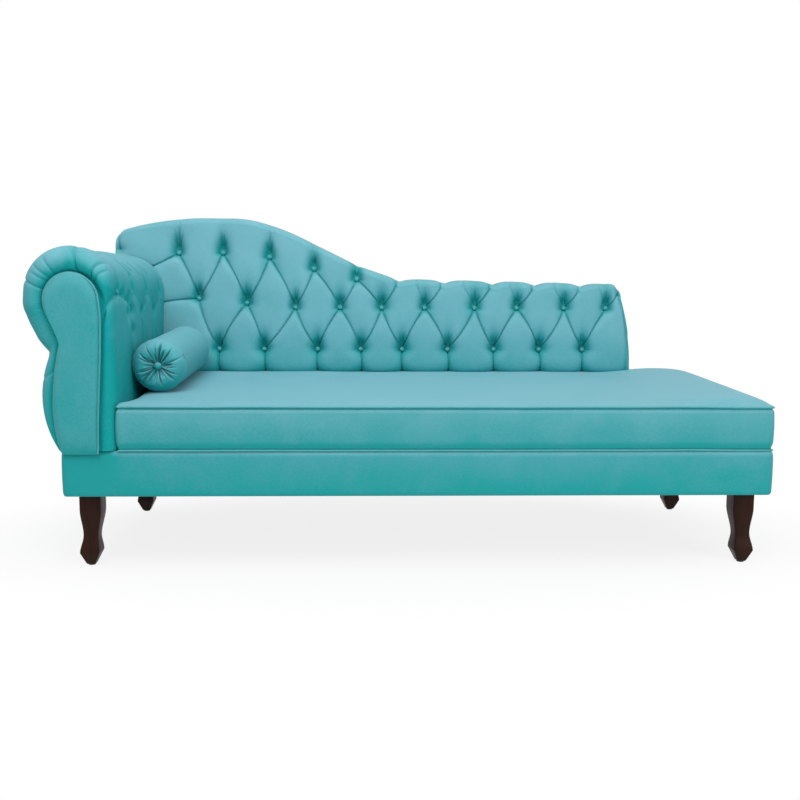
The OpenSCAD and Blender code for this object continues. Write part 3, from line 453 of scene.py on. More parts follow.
def mottled(name, light, dark, scale, roughness, metallic=0.0, bump=0.0003):
    """A cast, moulded or foamed material with small pits and uneven colour."""
    material, tree, bsdf = shader(name, Metallic=metallic)
    pits = noise(tree, object_point(tree), Scale=scale, Detail=5, Roughness=0.65)
    rough = ranged(tree, pits, To_Min=roughness[0], To_Max=roughness[1])
    dress(tree, bsdf, mixed(tree, pits, light, dark), pits, bump, roughness=rough)
    return material


# Each velvet's second colour is its painted lit copy, taken where a piece is painted as lit.
velvet_cloth = velvet("turquoise_velvet", (0.003, 0.330, 0.350, 1), (0.200, 0.500, 0.585, 1))
# The arm's velvet is a brighter copy of the cloth, painted light for its inner face, with less gloss and
# sheen.
matt = {"specular": 0.12, "sheen": 0.02}
velvet_inward = velvet("turquoise_velvet_arm", (0.003, 0.345, 0.365, 1), (0.200, 0.512, 0.595, 1), **matt)
velvet_piping = velvet("turquoise_piping", (0.003, 0.325, 0.345, 1), (0.190, 0.480, 0.560, 1), 30.0)
velvet_button = velvet("turquoise_button", (0.008, 0.340, 0.360, 1), (0.210, 0.520, 0.600, 1), 60.0)
stain_early, stain_late = (0.036, 0.012, 0.007, 1), (0.014, 0.005, 0.003, 1)
dark_wood = wood("dark_stained_wood", stain_early, stain_late, (1, 1, 0.12), coat=0.02, specular=0.10)
pine_along = wood("pine_along", (0.72, 0.52, 0.30, 1), (0.58, 0.36, 0.17, 1), (0.08, 1, 1))
plywood = wood("plywood", (0.66, 0.48, 0.29, 1), (0.52, 0.35, 0.19, 1), (1, 1, 0.1))
foam = mottled("foam", (0.80, 0.74, 0.50, 1), (0.70, 0.63, 0.40, 1), 500, (0.85, 1.0), bump=0.001)
plastic = mottled("glide_plastic", (0.02, 0.02, 0.02, 1), (0.03, 0.03, 0.03, 1), 700, (0.45, 0.6))
steel = mottled("zinc_steel", (0.60, 0.60, 0.62, 1), (0.48, 0.48, 0.50, 1), 260, (0.28, 0.48), metallic=1.0)
hessian = woven("hessian", (0.50, 0.38, 0.22, 1), (0.25, 0.18, 0.10, 1), 1800)
webbing = woven("webbing", (0.030, 0.030, 0.034, 1), (0.008, 0.008, 0.010, 1), 3000)
dust_cloth = woven("dust_cloth", (0.022, 0.022, 0.026, 1), (0.008, 0.008, 0.010, 1), 5200)


# The stage: camera, floor and lights


def make_camera():
    data = bpy.data.cameras.new("camera")
    data.sensor_width = camera_sensor
    data.lens = camera_lens
    camera = put_in_scene("camera", data)
    turn = (
        Matrix.Rotation(camera_yaw, 4, "Z")
        @ Matrix.Rotation(math.pi / 2 - camera_pitch, 4, "X")
        @ Matrix.Rotation(camera_roll, 4, "Z")
    )
    camera.matrix_world = Matrix.Translation(camera_at) @ turn
    bpy.context.scene.camera = camera


def seen_rays(tree):
    """1 for rays that should meet the white background: those of the camera, of gloss and of glass."""
    ray = add(tree, "LightPath").outputs
    seen = sum_of(tree, "MAXIMUM", ray["Is Camera Ray"], ray["Is Glossy Ray"])
    return sum_of(tree, "MAXIMUM", seen, ray["Is Transmission Ray"])


def make_floor():
    """A white floor that keeps the couch's faint shadow, which is whitened less near the couch."""
    half, whitened = 9.0, 0.84
    shadow_shape, near, far = (0.75, 1.4, 1), 0.58, 1.12
    bm = bmesh.new()
    bmesh.ops.create_grid(bm, x_segments=1, y_segments=1, size=half)
    pale = (0.95, 0.95, 0.95, 1)
    material, tree, bsdf = shader("floor", Base_Color=pale, Roughness=1.0, Specular_IOR_Level=0.0)
    glow = add(tree, "Emission", Color=(1, 1, 1, 1), Strength=1.0)
    shaped = add(tree, "VectorMath", object_point(tree), shadow_shape, settings={"operation": "MULTIPLY"})
    away = add(tree, "VectorMath", shaped.outputs[0], settings={"operation": "LENGTH"}).outputs["Value"]
    white = ranged(tree, away, "SMOOTHSTEP", From_Min=near, From_Max=far, To_Min=whitened)
    share = sum_of(tree, "MULTIPLY", seen_rays(tree), white)
    mix = add(tree, "MixShader", share, bsdf.outputs[0], glow.outputs[0])
    tree.links.new(mix.outputs[0], tree.nodes["Material Output"].inputs["Surface"])
    mesh = mesh_from(bm, "floor")
    mesh.materials.append(material)
    put_in_scene("floor", mesh)


def make_light(name, at, towards, width, height, power):
    data = bpy.data.lights.new(name, "AREA")
    data.shape = "RECTANGLE"
    data.size = width
    data.size_y = height
    data.energy = power
    light = put_in_scene(name, data)
    light.location = at
    light.rotation_mode = "QUATERNION"
    light.rotation_quaternion = (Vector(towards) - Vector(at)).to_track_quat("-Z", "Y")


def make_world(ambient):
    """A white background, and a plain level of light from all round."""
    world = bpy.data.worlds.new("world")
    bpy.context.scene.world = world
    world.use_nodes = True
    tree = world.node_tree
    background = tree.nodes["Background"].inputs
    background["Color"].default_value = (1, 1, 1, 1)
    tree.links.new(ranged(tree, seen_rays(tree), To_Min=ambient, To_Max=1.0), background["Strength"])


make_camera()
make_floor()
make_world(ambient=0.33)
make_light("soft_key", (-0.7, -2.0, 3.1), (-0.1, 0.0, 0.45), 2.4, 1.6, 50)
make_light("soft_right", (2.4, -3.0, 1.8), (0.0, 0.0, 0.5), 1.8, 1.4, 34)
make_light("soft_above", (0.2, -0.5, 3.6), (0.1, 0.1, 0.4), 2.6, 1.2, 23)


# Places read from the CAD nodes


def node_points(node):
    return np.array([v.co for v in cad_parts[node].data.vertices], float)


def button_places(node, depth_axis, near=0.02):
    """The corners of each button's box in a node, from the clusters of its vertices seen along an axis."""
    across = [k for k in range(3) if k != depth_axis]
    left = node_points(node)
    places = []
    while len(left):
        middle = left[0]
        for _ in range(3):
            close = np.linalg.norm((left - middle)[:, across], axis=1) < near
            middle = (left[close].min(0) + left[close].max(0)) / 2
        places.append((left[close].min(0), left[close].max(0)))
        left = left[~close]
    return places


# The buttoned back

back_round = 0.034
back_roll = 0.020
back_end_round = 0.014
back_left_drop = 0.042
back_low_fall = 0.013
back_taper = 0.035
back_low_z = 0.727
scallop = 0.012
scallop_w = 0.022
peak_share = 0.170
fall_shares = (0.218, 0.582)
valley_shares = (0.548, 0.637, 0.732, 0.816, 0.906)
back_lean = 0.036
back_x0, back_x1 = back_lo.x, back_hi.x
back_l = back_x1 - back_x0
back_y0 = back_lo.y
back_foot = back_lo.z
back_peak = back_hi.z

back_buttons = [((a + b) / 2, a[1]) for a, b in button_places("back_buttons", 1)]


def back_line(x):
    """Height of the back's top edge, without its scallops and rounded ends."""
    peak_x = back_x0 + peak_share * back_l
    start, end = (back_x0 + s * back_l for s in fall_shares)
    left = back_peak - back_left_drop * (np.maximum(peak_x - x, 0) / (peak_x - back_x0)) ** 2
    t = np.clip((x - start) / (end - start), 0, 1)
    fall = back_low_z + (back_peak - back_low_z) * (1 + np.cos(math.pi * t)) / 2
    fall = fall - back_low_fall * np.maximum(0, x - end) / (back_x1 - end)
    return np.where(x < peak_x, left, fall)


valley_x = np.array([back_x0 + s * back_l for s in valley_shares])


def scallops(x):
    """How far the top edge dips in the valleys between its scallops."""
    near = np.abs(x[..., None] - valley_x)
    return scallop * np.exp(-((near / scallop_w) ** 1.2)).max(-1)


def back_end(x):
    """Distance inward of the nearer end."""
    return np.minimum(x - back_x0, back_x1 - x)


def back_top(x):
    return back_line(x) - scallops(x) - quarter_drop(back_end(x), back_round)


def back_slant(x, z):
    """The right end leans in towards its top."""
    last = max(m[0] for m, _ in back_buttons)
    lean = smooth((x - last) / (back_x1 - last))
    return x - back_taper * lean * (z - back_foot) / (back_low_z - back_foot)


def button_rows():
    """Row C, the lowest, row B and row A, each from left to right, as (x, z) before the slant."""
    spots = sorted(((m[0], m[2]) for m, _ in back_buttons), key=lambda p: p[1])
    row_gap = 0.05
    rows = [[spots[0]]]
    for p in spots[1:]:
        if len(rows) < 3 and p[1] - rows[-1][-1][1] > row_gap:
            rows.append([])
        rows[-1].append(p)
    return [sorted(r) for r in rows]


row_c, row_b, row_a = button_rows()
valleys = [(x, float(back_line(np.array(x)))) for x in valley_x]

# Depths, reaches and widths of the creases between the buttons, and of the pits that the buttons pull
crease_end_deep = 0.019
crease_mid_deep = 0.0055
crease_reach = 0.0150
slit_deep = 0.0055
slit_w = 0.0019
pit_deep = 0.027
pit_core = 0.0095
pit_reach = 0.0105
pit_up = 0.40
pit_down = 1.5
# Reach of the pleats above each button of the top row
top_pleats = (0.095, 0.090, 0.080, 0.055, 0.040)


def back_creases():
    """The folds between the back's buttons, valleys, foot and ends, each as (from, to, weight)."""
    creases = []
    for c, left, right in zip(row_c, row_b, row_b[1:]):
        creases += [(left, c, 1.0), (c, right, 1.0), (c, (c[0] + 0.002, back_foot - 0.01), 2.2)]
    for i, b in enumerate(row_b):
        if i < len(row_a):
            creases.append((row_a[i], b, 1.0))
            up = row_a[i + 1] if i + 1 < len(row_a) else valleys[0]
        else:
            k = i - len(row_a)
            valley_end_x, valley_z = valleys[k][0] + 0.038, valleys[k][1]
            creases.append(((valley_end_x, valley_z), b, 0.45))
            up = valleys[k + 1] if k + 1 < len(valleys) else None
        if up:
            creases.append((b, up, 1.0))
    top, first, last = row_a[0], row_b[0], row_b[-1]
    at_left_end = [
        ((back_x0 + 0.019, 0.880), (back_x0 + 0.014, 0.815), 0.9),
        (top, (back_x0 + 0.062, top[1] - 0.056), 1.1),
        (first, (back_x0 + 0.085, first[1] - 0.026), 1.1),
    ]
    at_right_end = [
        (last, (back_x1 - 0.004, last[1] + 0.045), 0.9),
        ((back_x1 - 0.012, back_foot), (back_x1 - 0.011, back_low_z - 0.03), 0.5),
    ]
    return creases + at_left_end + at_right_end


def bowed(a, b, bow):
    """Stretches of a line from a to b that bows sideways a little."""
    a, b = np.array(a), np.array(b)
    side = np.array([-(b - a)[1], (b - a)[0]])
    t = np.linspace(0, 1, 6)
    return a + (b - a) * t[:, None] + side * (bow * np.sin(math.pi * t))[:, None]


def crease_field(p, q, creases, reach, ends_deep, mid_deep, slit, slit_width, bow=0.04):
    """Depth of the padding's folds at the points (p, q): gentle above each fold and steep below it."""
    power = 3.0
    above_share, below_share = 1.35, 0.6
    total = np.zeros(np.broadcast(p, q).shape)
    slits = np.zeros_like(total)
    for k, (a, b, weight) in enumerate(creases):
        path = bowed(a, b, bow * (1 if k % 2 else -1))
        upright = abs(b[0] - a[0]) < 0.25 * abs(b[1] - a[1])
        nearest = np.full(total.shape, 1e9)
        along = np.zeros_like(total)
        scale = np.ones_like(total)
        for i in range(len(path) - 1):
            d, t, above = line_distance(p, q, path[i], path[i + 1])
            closer = d < nearest
            nearest = np.where(closer, d, nearest)
            along = np.where(closer, (i + t) / (len(path) - 1), along)
            side = (above_share + below_share) / 2 + (above_share - below_share) / 2 * np.clip(above, -1, 1)
            scale = np.where(closer, 1.0 if upright else side, scale)
        deep = mid_deep + (ends_deep - mid_deep) * np.abs(2 * along - 1) ** 2.2
        total += (weight * deep * np.exp(-nearest / (reach * scale))) ** power
        slits = np.maximum(slits, min(weight, 1.1) * slit * np.exp(-((nearest / slit_width) ** 2)))
    return total ** (1 / power), slits


def button_pits(p, q, buttons, deep, core, reach, up_share, down_share):
    """Depth of the pits that the buttons pull: drawn out upwards, steep below."""
    pit = np.zeros(np.broadcast(p, q).shape)
    for x, z in buttons:
        up = q - z
        up = np.where(up > 0, up * up_share, up * down_share)
        r = np.hypot(p - x, up)
        pit = np.maximum(pit, deep * np.exp(-np.maximum(0, r - core) / reach))
    return pit


def fan_pleats(p, q, x, z, reach, count, spread, deep, seed, lean=0.0):
    """Fine pleats that fan upwards from a button."""
    draws = np.random.default_rng(seed)
    dx, dz = p - x, q - z
    r = np.hypot(dx, dz)
    angle = np.arctan2(dx, dz)
    total = np.zeros(np.broadcast(p, q).shape)
    for k in range(count):
        at = lean + spread * (2 * (k + 0.5) / count - 1) + draws.uniform(-0.05, 0.05)
        long = reach * draws.uniform(0.7, 1.15) * (1 - 0.35 * abs(at - lean) / max(spread, 0.01))
        width = 0.0012 + 0.028 * r
        fade = smooth((r - 0.007) / 0.005) * (1 - smooth((r - 0.45 * long) / (0.55 * long)))
        total = np.maximum(total, deep * fade * np.exp(-((r * np.sin(angle - at) / width) ** 2)))
    return total * (np.abs(angle) < 1.9)


def back_depth(x, z):
    """How far the buttoned front lies behind its crest."""
    folds, slits = crease_field(
        x, z, back_creases(), crease_reach, crease_end_deep, crease_mid_deep, slit_deep, slit_w
    )
    pits = button_pits(x, z, row_a + row_b + row_c, pit_deep, pit_core, pit_reach, pit_up, pit_down)
    deep = (folds**3 + pits**3) ** (1 / 3) + slits
    for i, ((bx, bz), tall) in enumerate(zip(row_a, top_pleats)):
        fan = fan_pleats(x, z, bx, bz, tall, count=5, spread=0.30, deep=0.0070, seed=30 + i, lean=0.04)
        deep = deep + fan
    for i, (bx, bz) in enumerate(row_b + row_c):
        deep = deep + fan_pleats(x, z, bx, bz, 0.060, count=5, spread=0.46, deep=0.0065, seed=60 + i)
    for i, (bx, bz) in enumerate(row_a + row_b + row_c):
        deep = deep + fan_pleats(x, z, bx, bz, 0.030, count=8, spread=1.8, deep=0.0028, seed=120 + i)
    foot = 0.010 * np.exp(-np.maximum(0, z - back_foot) / 0.010)
    slack = 0.0014 * (1 + ripple(x, z, 0.16, 5))
    return deep + foot + slack


def back_rings():
    """Rings along the couch, each from the foot up the front, over the top, down the rear and back under."""
    across = 1000
    front_rows, roll_rows, top_rows, rear_rows, foot_rows = 280, 14, 8, 6, 6
    seam_dip, top_fall, top_crown, left_dome, right_dome = 0.11, 0.007, 0.004, -0.006, 0.009
    side_light, rear_light = 0.15, 0.45
    x = back_x0 + back_l * np.linspace(0, 1, across)[:, None]
    top = back_top(x) - back_roll
    z = back_foot + (top - back_foot) * np.linspace(0, 1, front_rows)
    crest = back_y0 + back_lean * (z - back_foot) / (back_peak - back_foot)
    y = crest + np.maximum(back_depth(x, z), quarter_drop(back_end(x), back_end_round))
    front = points(back_slant(x, z), y, z)
    turn = math.pi / 2 * shares(roll_rows)
    edge_x, edge_y = back_slant(x, top), y[:, -1:]
    dip = seam_dip * (edge_y - crest[:, -1:]) * (1 - np.cos(turn))
    over = points(edge_x, edge_y + back_roll * (1 - np.cos(turn)), top + back_roll * np.sin(turn) - dip)
    last_y, last_z = over[:, -1:, 1], over[:, -1:, 2]
    run = shares(top_rows)
    crown = top_crown * np.sin(math.pi * run)
    flat = points(edge_x, last_y + (back_hi.y - last_y) * run, last_z - top_fall * run**2 + crown)
    low = flat[:, -1:, 2]
    down = low + (back_foot - low) * shares(rear_rows)
    rear = points(back_slant(x, down), back_hi.y, down)
    in_y = back_hi.y + (front[:, :1, 1] - back_hi.y) * shares(foot_rows)
    under = points(back_slant(x, back_foot), in_y, back_foot)
    rings = np.concatenate([front, over, flat, rear, under], 1)
    # Painted light and shade on the front: darker towards the foot, where the seat shades it, and darker in
    # the pits and creases.
    pale = 0.42 + 0.38 * smooth((z - back_foot - 0.01) / 0.13) + 0.12 * smooth((z - back_foot - 0.20) / 0.22)
    pale = pale * np.exp(-((np.maximum(0, y - crest - 0.0040) / 0.011) ** 1.3))
    # Painted light: the rear and the ends at their own levels, and the roll a little darker than the top of
    # the front.
    painted_light = np.full(rings.shape[:2], rear_light)
    painted_light[:, :front_rows] = pale
    painted_light[:, front_rows : front_rows + roll_rows] = pale[:, -1:] * 0.9
    right_end = end_cap(rings[-1], right_dome)
    right_end[..., 0] += back_slant(back_x1, right_end[..., 2]) - back_slant(back_x1, rings[-1][:, 2])
    rings = np.concatenate([end_cap(rings[0], left_dome)[::-1], rings, right_end])
    side = np.full((len(right_end), painted_light.shape[1]), side_light)
    return rings, np.concatenate([side, painted_light, side])


def end_cap(ring, dome, steps=8, shrink=0.9):
    """Rings that close an end with a slight dome, from just inside the edge to near the middle."""
    t = shares(steps)[:, None, None]
    inward = (ring.mean(0) - ring) * [0, shrink, shrink]
    return ring + inward * t + np.array([dome, 0, 0]) * np.sin(math.pi / 2 * t)


button_r, button_tall = 0.0067, 0.0042


def button_form(radius, tall, shank, steps=7, sides=22):
    """Rings of a covered button along its own axis: domed face, tucked rim and a shank of cloth."""
    turn = np.linspace(0, 2 * math.pi, sides + 1)
    a = math.pi / 2 * shares(steps)
    profile = [(0.0005, tall), *zip(radius * np.sin(a), tall * np.cos(a))]
    profile += [(radius * 0.97, -tall * 0.35), (radius * 0.72, -tall * 0.75), (radius * 0.45, -shank)]
    return np.array([points(r * np.cos(turn), r * np.sin(turn), h) for r, h in profile])


def place_rings(rings, at, out):
    """Turns rings so that their own z axis points out, and moves them to a place."""
    turn = np.array(Vector(out).to_track_quat("Z", "Y").to_matrix())
    return rings @ turn.T + np.array(at)


def make_buttons(name, node, places, shank, radius=button_r, tall=button_tall, body="couch"):
    """All the covered buttons of one node, as one piece. Each place is a middle and the way that it faces."""
    whole = bmesh.new()
    for at, out in places:
        part = closed_skin(place_rings(button_form(radius, tall, shank), at, out))
        bmesh.ops.recalc_face_normals(part, faces=part.faces)
        mesh = mesh_from(part, "part")
        whole.from_mesh(mesh)
        bpy.data.meshes.remove(mesh)
    # Painted light on the buttons: paler where they face up.
    make_piece(name, whole, velvet_button, node, body, painted_lighting=(0.18, 0.6))


def make_back():
    rings, painted_light = back_rings()
    # Painted light on the back: a little paler where it faces up.
    make_pad("buttoned_back", closed_skin(rings, painted_light=painted_light), "back_cover", painted_lighting=(0, 0.12))
    sunk = button_tall + 0.008
    places = [((m[0], front + sunk, m[2]), (0, -1, 0.12)) for m, front in back_buttons]
    make_buttons("back_covered_buttons", "back_buttons", places, shank=0.010)


make_back()

# The seat

seat_crest = seat_hi.z
seat_edge = seat_pipe_hi.z - 0.001
seat_x0, seat_x1 = seat_lo.x, seat_hi.x
seat_y0, seat_y1 = seat_lo.y, seat_hi.y
seat_bottom = seat_lo.z
seat_short_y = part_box("back_board")[0].y - soft_gap
seat_front_r, seat_rear_r = 0.014, 0.026
seat_step_gap, seat_step_l = 0.004, 0.024
seat_rise_power, seat_end_power, seat_rear_power, seat_swell_power = 0.65, 26, 20, 30
seat_notch = 0.008
seat_groove, seat_groove_w = 0.037, 0.015
seat_end_swell, seat_end_w, seat_swell_from, seat_swell_l = 0.012, 0.016, 0.12, 0.22
seat_side_rows = 26


def seat_open(x):
    """1 where the seat runs on to the couch's rear, past the back's right end."""
    return smooth((x - back_x1 - seat_step_gap) / seat_step_l)


def seat_rear(x):
    return seat_short_y + (seat_y1 - seat_short_y) * seat_open(x)


def seat_height(x, y):
    """Height of the seat's crowned top, with a groove beside the arm and a swell at the open end."""
    half = (seat_x1 - seat_x0) / 2
    u = np.maximum(0, (x - seat_x0 - half) / half)
    rise = np.clip((y - seat_y0 - seat_notch) / (back_y0 - seat_y0 - seat_notch), 0, 1) ** seat_rise_power
    end = 1 - np.minimum(u, 1) ** seat_end_power
    run = np.clip((y - seat_y0) / (seat_rear(x) - seat_notch - seat_y0), 0, 1)
    rear = 1 - seat_open(x) * run**seat_rear_power
    groove = seat_groove * np.exp(-(x - seat_x0) / seat_groove_w) * smooth((y - seat_y0 - 0.03) / 0.12)
    groove = groove * (1 - smooth((y - back_y0 + 0.055) / 0.05))
    to_end = np.maximum(0, seat_x1 - x)
    swell = (1 - np.exp(-to_end / seat_end_w)) * (1 - smooth((to_end - seat_swell_from) / seat_swell_l))
    swell = seat_end_swell * swell * smooth((y - seat_y0) / 0.045) * (1 - run**seat_swell_power)
    return seat_edge + (seat_crest - seat_edge) * rise * end * rear + swell - groove


def seat_outline(step=0.006):
    """The seat's plan from its front left corner, round the open end and back behind the couch's back."""
    fan_x = back_x1 + seat_step_gap + seat_step_l + 0.004
    front_x = np.linspace(seat_x0, fan_x, int((fan_x - seat_x0) / step))
    at_step = np.linspace(back_x1 + seat_step_gap, fan_x, 14)
    front_x = np.union1d(front_x[front_x < at_step[0] - 0.003], at_step)
    front = np.stack([front_x, np.full_like(front_x, seat_y0)], 1)
    rear = np.stack([front_x, seat_rear(front_x)], 1)[::-1]
    front_corner = plan_corner(seat_x1 - seat_front_r, seat_y0 + seat_front_r, seat_front_r, -90, 0, 9)
    rear_corner = plan_corner(seat_x1 - seat_rear_r, seat_y1 - seat_rear_r, seat_rear_r, 0, 90, 16)
    end = np.vstack([[[fan_x, seat_y0]], front_corner, rear_corner, [[fan_x, seat_y1]]])
    left = np.array([[seat_x0, seat_rear(np.array(seat_x0))], [seat_x0, seat_y0]])
    return np.vstack([front, evenly(end, step)[1:-1], rear, evenly(left, 0.02)[1:]]), fan_x


def outline_normals(path):
    """Outward directions in the plan of a closed outline that turns to the left."""
    run = unit(np.roll(path[:-1], -1, 0) - np.roll(path[:-1], 1, 0))
    out = np.stack([run[:, 1], -run[:, 0]], 1)
    return np.vstack([out, out[:1]])


def seat_rings():
    """Rings from the seat's lower seam up its boxing, and then in over its top to a line along its middle."""
    path, fan_x = seat_outline()
    out = outline_normals(path)
    spine = np.stack([np.minimum(path[:, 0], fan_x), np.full(len(path), (seat_y0 + seat_short_y) / 2)], 1)
    wave = 0.0012 * ripple(path[:, 0], path[:, 1], 0.35, 3)
    low_tuck, high_tuck, bulge, side_h = 0.0045, 0.0062, 0.0022, seat_edge - 0.0045 - seat_bottom
    rows = []
    for t in np.linspace(0, 1, seat_side_rows):
        inward = low_tuck * (1 - smooth(t / 0.20)) - bulge * math.sin(math.pi * min(1, t / 0.96)) ** 0.8
        inward = inward + high_tuck * smooth((t - 0.93) / 0.07) + wave * math.sin(math.pi * t)
        rows.append(at_height(path - out * inward[:, None], seat_bottom + side_h * t))
    # Along the rear behind the back the top rises steeply, so that it closes the gap under the back
    steep = (1 - seat_open(path[:, 0])) * (path[:, 1] > 0) * (path[:, 0] > seat_x0 + 0.02)
    for t in np.concatenate([np.linspace(0.004, 0.12, 16), np.linspace(0.135, 1, 44)]):
        p = path + (spine - path) * t
        z = seat_height(p[:, 0], p[:, 1]) + 0.0010 * ripple(p[:, 0], p[:, 1], 0.40, 11) * smooth(t / 0.15)
        gap = np.linalg.norm(p - path, axis=1)
        edge = seat_edge - 0.0035 + np.sqrt(gap * (0.004 + 0.016 * steep)) + gap * (0.9 + 4 * steep)
        rows.append(at_height(p, np.minimum(z, edge)))
    return np.array(rows)


def make_seat():
    """The seat's cover, with painted light and shade: its boxing is paler towards its top, with painted shade
    under the piping and at its lower seam, and its top is painted pale where it faces up.
    """
    rings = seat_rings()
    up = np.clip((rings[..., 2] - seat_bottom) / (seat_edge - seat_bottom), 0, 1)
    top_shade, low_shade = smooth((up - 0.90) / 0.06), 1 - smooth(up / 0.06)
    painted_light = 0.30 * (up - 0.5) - 0.8 * top_shade - 0.6 * low_shade
    painted_light[seat_side_rows:] = 0
    make_pad("seat_cushion", closed_skin(rings, painted_light=painted_light), "seat_cover", painted_lighting=(0.34, 0.66))


def edge_path(front_r, rear_r, inward, z, wave):
    """A piped edge along the front, the open end and a stretch of the rear."""
    x1, y0, y1 = base_hi.x, base_lo.y, base_hi.y
    front_corner = plan_corner(x1 - front_r, y0 + front_r, front_r - inward, -90, 0, 12)
    rear_corner = plan_corner(x1 - rear_r, y1 - rear_r, rear_r - inward, 0, 90, 16)
    rear_end = [[back_x1 + seat_step_gap + seat_step_l, y1 - inward]]
    plan = evenly(np.vstack([[[seat_x0, y0 + inward]], front_corner, rear_corner, rear_end]), 0.005)
    return at_height(plan, z + wave * ripple(plan[:, 0], plan[:, 1], 0.30, 21))


def make_piping(name, node, path, radius):
    skin = closed_skin(tube(path, radius))
    # Painted light on the piping: paler where it faces up.
    make_piece(name, skin, velvet_piping, node, painted_lighting=(0.35, 0.5))


def make_welts():
    """The piping round the seat's top edge, and the piping between the seat and the base."""
    seat_r = (seat_pipe_hi.z - seat_pipe_lo.z) / 2
    base_r = (base_pipe_hi.z - base_pipe_lo.z) / 2
    seat_path = edge_path(seat_front_r, seat_rear_r, inward=0.002, z=seat_pipe_hi.z - seat_r, wave=0.0009)
    base_path = edge_path(band_r, band_r, inward=0.0015, z=base_pipe_hi.z - base_r, wave=0.0006)
    make_piping("seat_welt", "seat_piping", seat_path, seat_r)
    make_piping("base_welt", "base_piping", base_path, base_r)


# The base band

band_r = 0.010
band_inner = 0.0105
lip_w, lip_t = 0.030, 0.0015


def base_band_rings():
    """Rings round the band: its top edge, down its padded face, under to the lip, and up its inner face."""
    plan = rounded_plan(base_lo.x, base_hi.x, base_lo.y, base_hi.y, band_r, 9, first=2)
    plan = evenly(plan, 0.008, closed=True)
    out = outline_normals(plan)
    high, low = base_hi.z, base_lo.z
    top = (0.0095, high - 0.004)
    profile = [top, (0.0075, high - 0.0015), (0.0052, high - 0.0008)]
    for t in np.linspace(0, 1, 24):
        turned = 0.0042 * (1 - smooth(t / 0.07)) + 0.0016 * smooth((t - 0.965) / 0.035)
        bulge = 0.0014 * math.sin(math.pi * t) ** 0.7
        profile.append((turned - bulge, high - 0.0022 - (high - low - 0.005) * t))
    profile += [(0.004, low + 0.0003), (0.009, low), (lip_w, low), (lip_w, low + lip_t)]
    profile += [(band_inner, z) for z in (low + lip_t, low + 0.04, high - 0.03)] + [top]
    sag = 0.0008 * ripple(plan[:, 0], plan[:, 1], 0.45, 9)
    rings = []
    for inward, z in profile:
        soft = sag if inward < 0.004 else 0 * sag
        rings.append(at_height(plan - out * (inward + soft)[:, None], z))
    return np.array(rings)


def make_base_band():
    """The band round the base, with painted shadow under the arm's facing, and painted light that is paler
    towards its top.
    """
    rings = base_band_rings()
    x, z = rings[..., 0], rings[..., 2]
    shade = np.exp(-np.maximum(0, x - base_lo.x - 0.10) / 0.03) * np.exp(-np.maximum(0, base_hi.z - z) / 0.06)
    painted_light = 0.24 * ((z - base_lo.z) / (base_hi.z - base_lo.z) - 0.5) - 0.95 * shade
    make_pad("base_band", closed_skin(rings, caps=False, painted_light=painted_light), "base_cover", painted_lighting=(0.16, 0.8))


make_seat()
make_welts()
make_base_band()

# The arm

roll_r = 0.108
roll_x = base_lo.x + 0.030
roll_z = arm_hi.z - roll_r
arm_in_x = arm_hi.x
arm_front_y = arm_lo.y
arm_rear_y = arm_hi.y
arm_foot = arm_lo.z
waist_x, waist_z = base_lo.x - 0.019, base_hi.z + 0.241
bulge_x, bulge_z = base_lo.x - 0.044, base_hi.z + 0.135
roll_end = 210
roll_sag = 0.0175
belly_r = ((waist_z - bulge_z) ** 2 + (waist_x - bulge_x) ** 2) / (2 * (waist_x - bulge_x))
roll_centre = np.array([base_lo.x + 0.02, (arm_foot + roll_z) / 2])

# Points on each stretch of the arm's and the facing's outlines, in x and z
side_n, round_n, neck_n, belly_n, foot_n = 60, 116, 16, 52, 20

# The facing's keyhole outline
facing_round_r = 0.067
facing_round_x = base_lo.x + 0.0410
facing_round_z = roll_z - 0.020
facing_round_end = 200
facing_foot_x, facing_heel_x = base_lo.x + 0.097, base_lo.x + 0.009
facing_side_x = base_lo.x + 0.112
facing_side_z = roll_z - 0.048
facing_foot_z = base_hi.z - 0.010
facing_waist_x, facing_waist_z = base_lo.x + 0.014, roll_z - 0.112
facing_bulge_x, facing_bulge_z = base_lo.x - 0.010, base_hi.z + 0.098


def belly_point(z):
    """Place along x of the arm's round belly at a height."""
    return bulge_x + belly_r - np.sqrt(belly_r**2 - (z - bulge_z) ** 2)


def close_outline(side, roll, belly_at, from_z, foot_z):
    """Closes an outline from a side and a roll on, with a neck, a belly and a foot."""
    neck = roll[-1] + (np.array([belly_at(from_z), from_z]) - roll[-1]) * shares(neck_n)[:, None]
    z = np.linspace(from_z, foot_z, belly_n + 1)[1:]
    belly = np.column_stack([belly_at(z), z])
    foot = belly[-1] + (side[0] - belly[-1]) * shares(foot_n)[:, None]
    return np.vstack([side, roll, neck, belly, foot])


def arm_outline():
    """The arm's outline: up the inner face, over the roll, in to the waist, down the belly and foot."""
    side = np.column_stack([np.full(side_n, arm_in_x), np.linspace(arm_foot, roll_z, side_n)])
    roll = plan_corner(roll_x, roll_z, roll_r, 0, roll_end, round_n + 1)[1:]
    outline = close_outline(side, roll, belly_point, waist_z, arm_foot)
    x, z = outline.T
    below = smooth((roll_z + 0.006 - z) / 0.085) * smooth((z - waist_z + 0.020) / 0.055)
    outline[:, 0] -= np.where(x < roll_x, roll_sag * below, 0)
    return outline


def facing_belly(z):
    """Place along x of the facing's left side at a height, from its waist over its bulge to its heel."""
    high = z > facing_bulge_z
    edge = np.where(high, facing_waist_x, facing_heel_x)
    reach = np.where(high, facing_waist_z - facing_bulge_z, facing_bulge_z - facing_foot_z)
    return facing_bulge_x + (edge - facing_bulge_x) * ((z - facing_bulge_z) / reach) ** 2


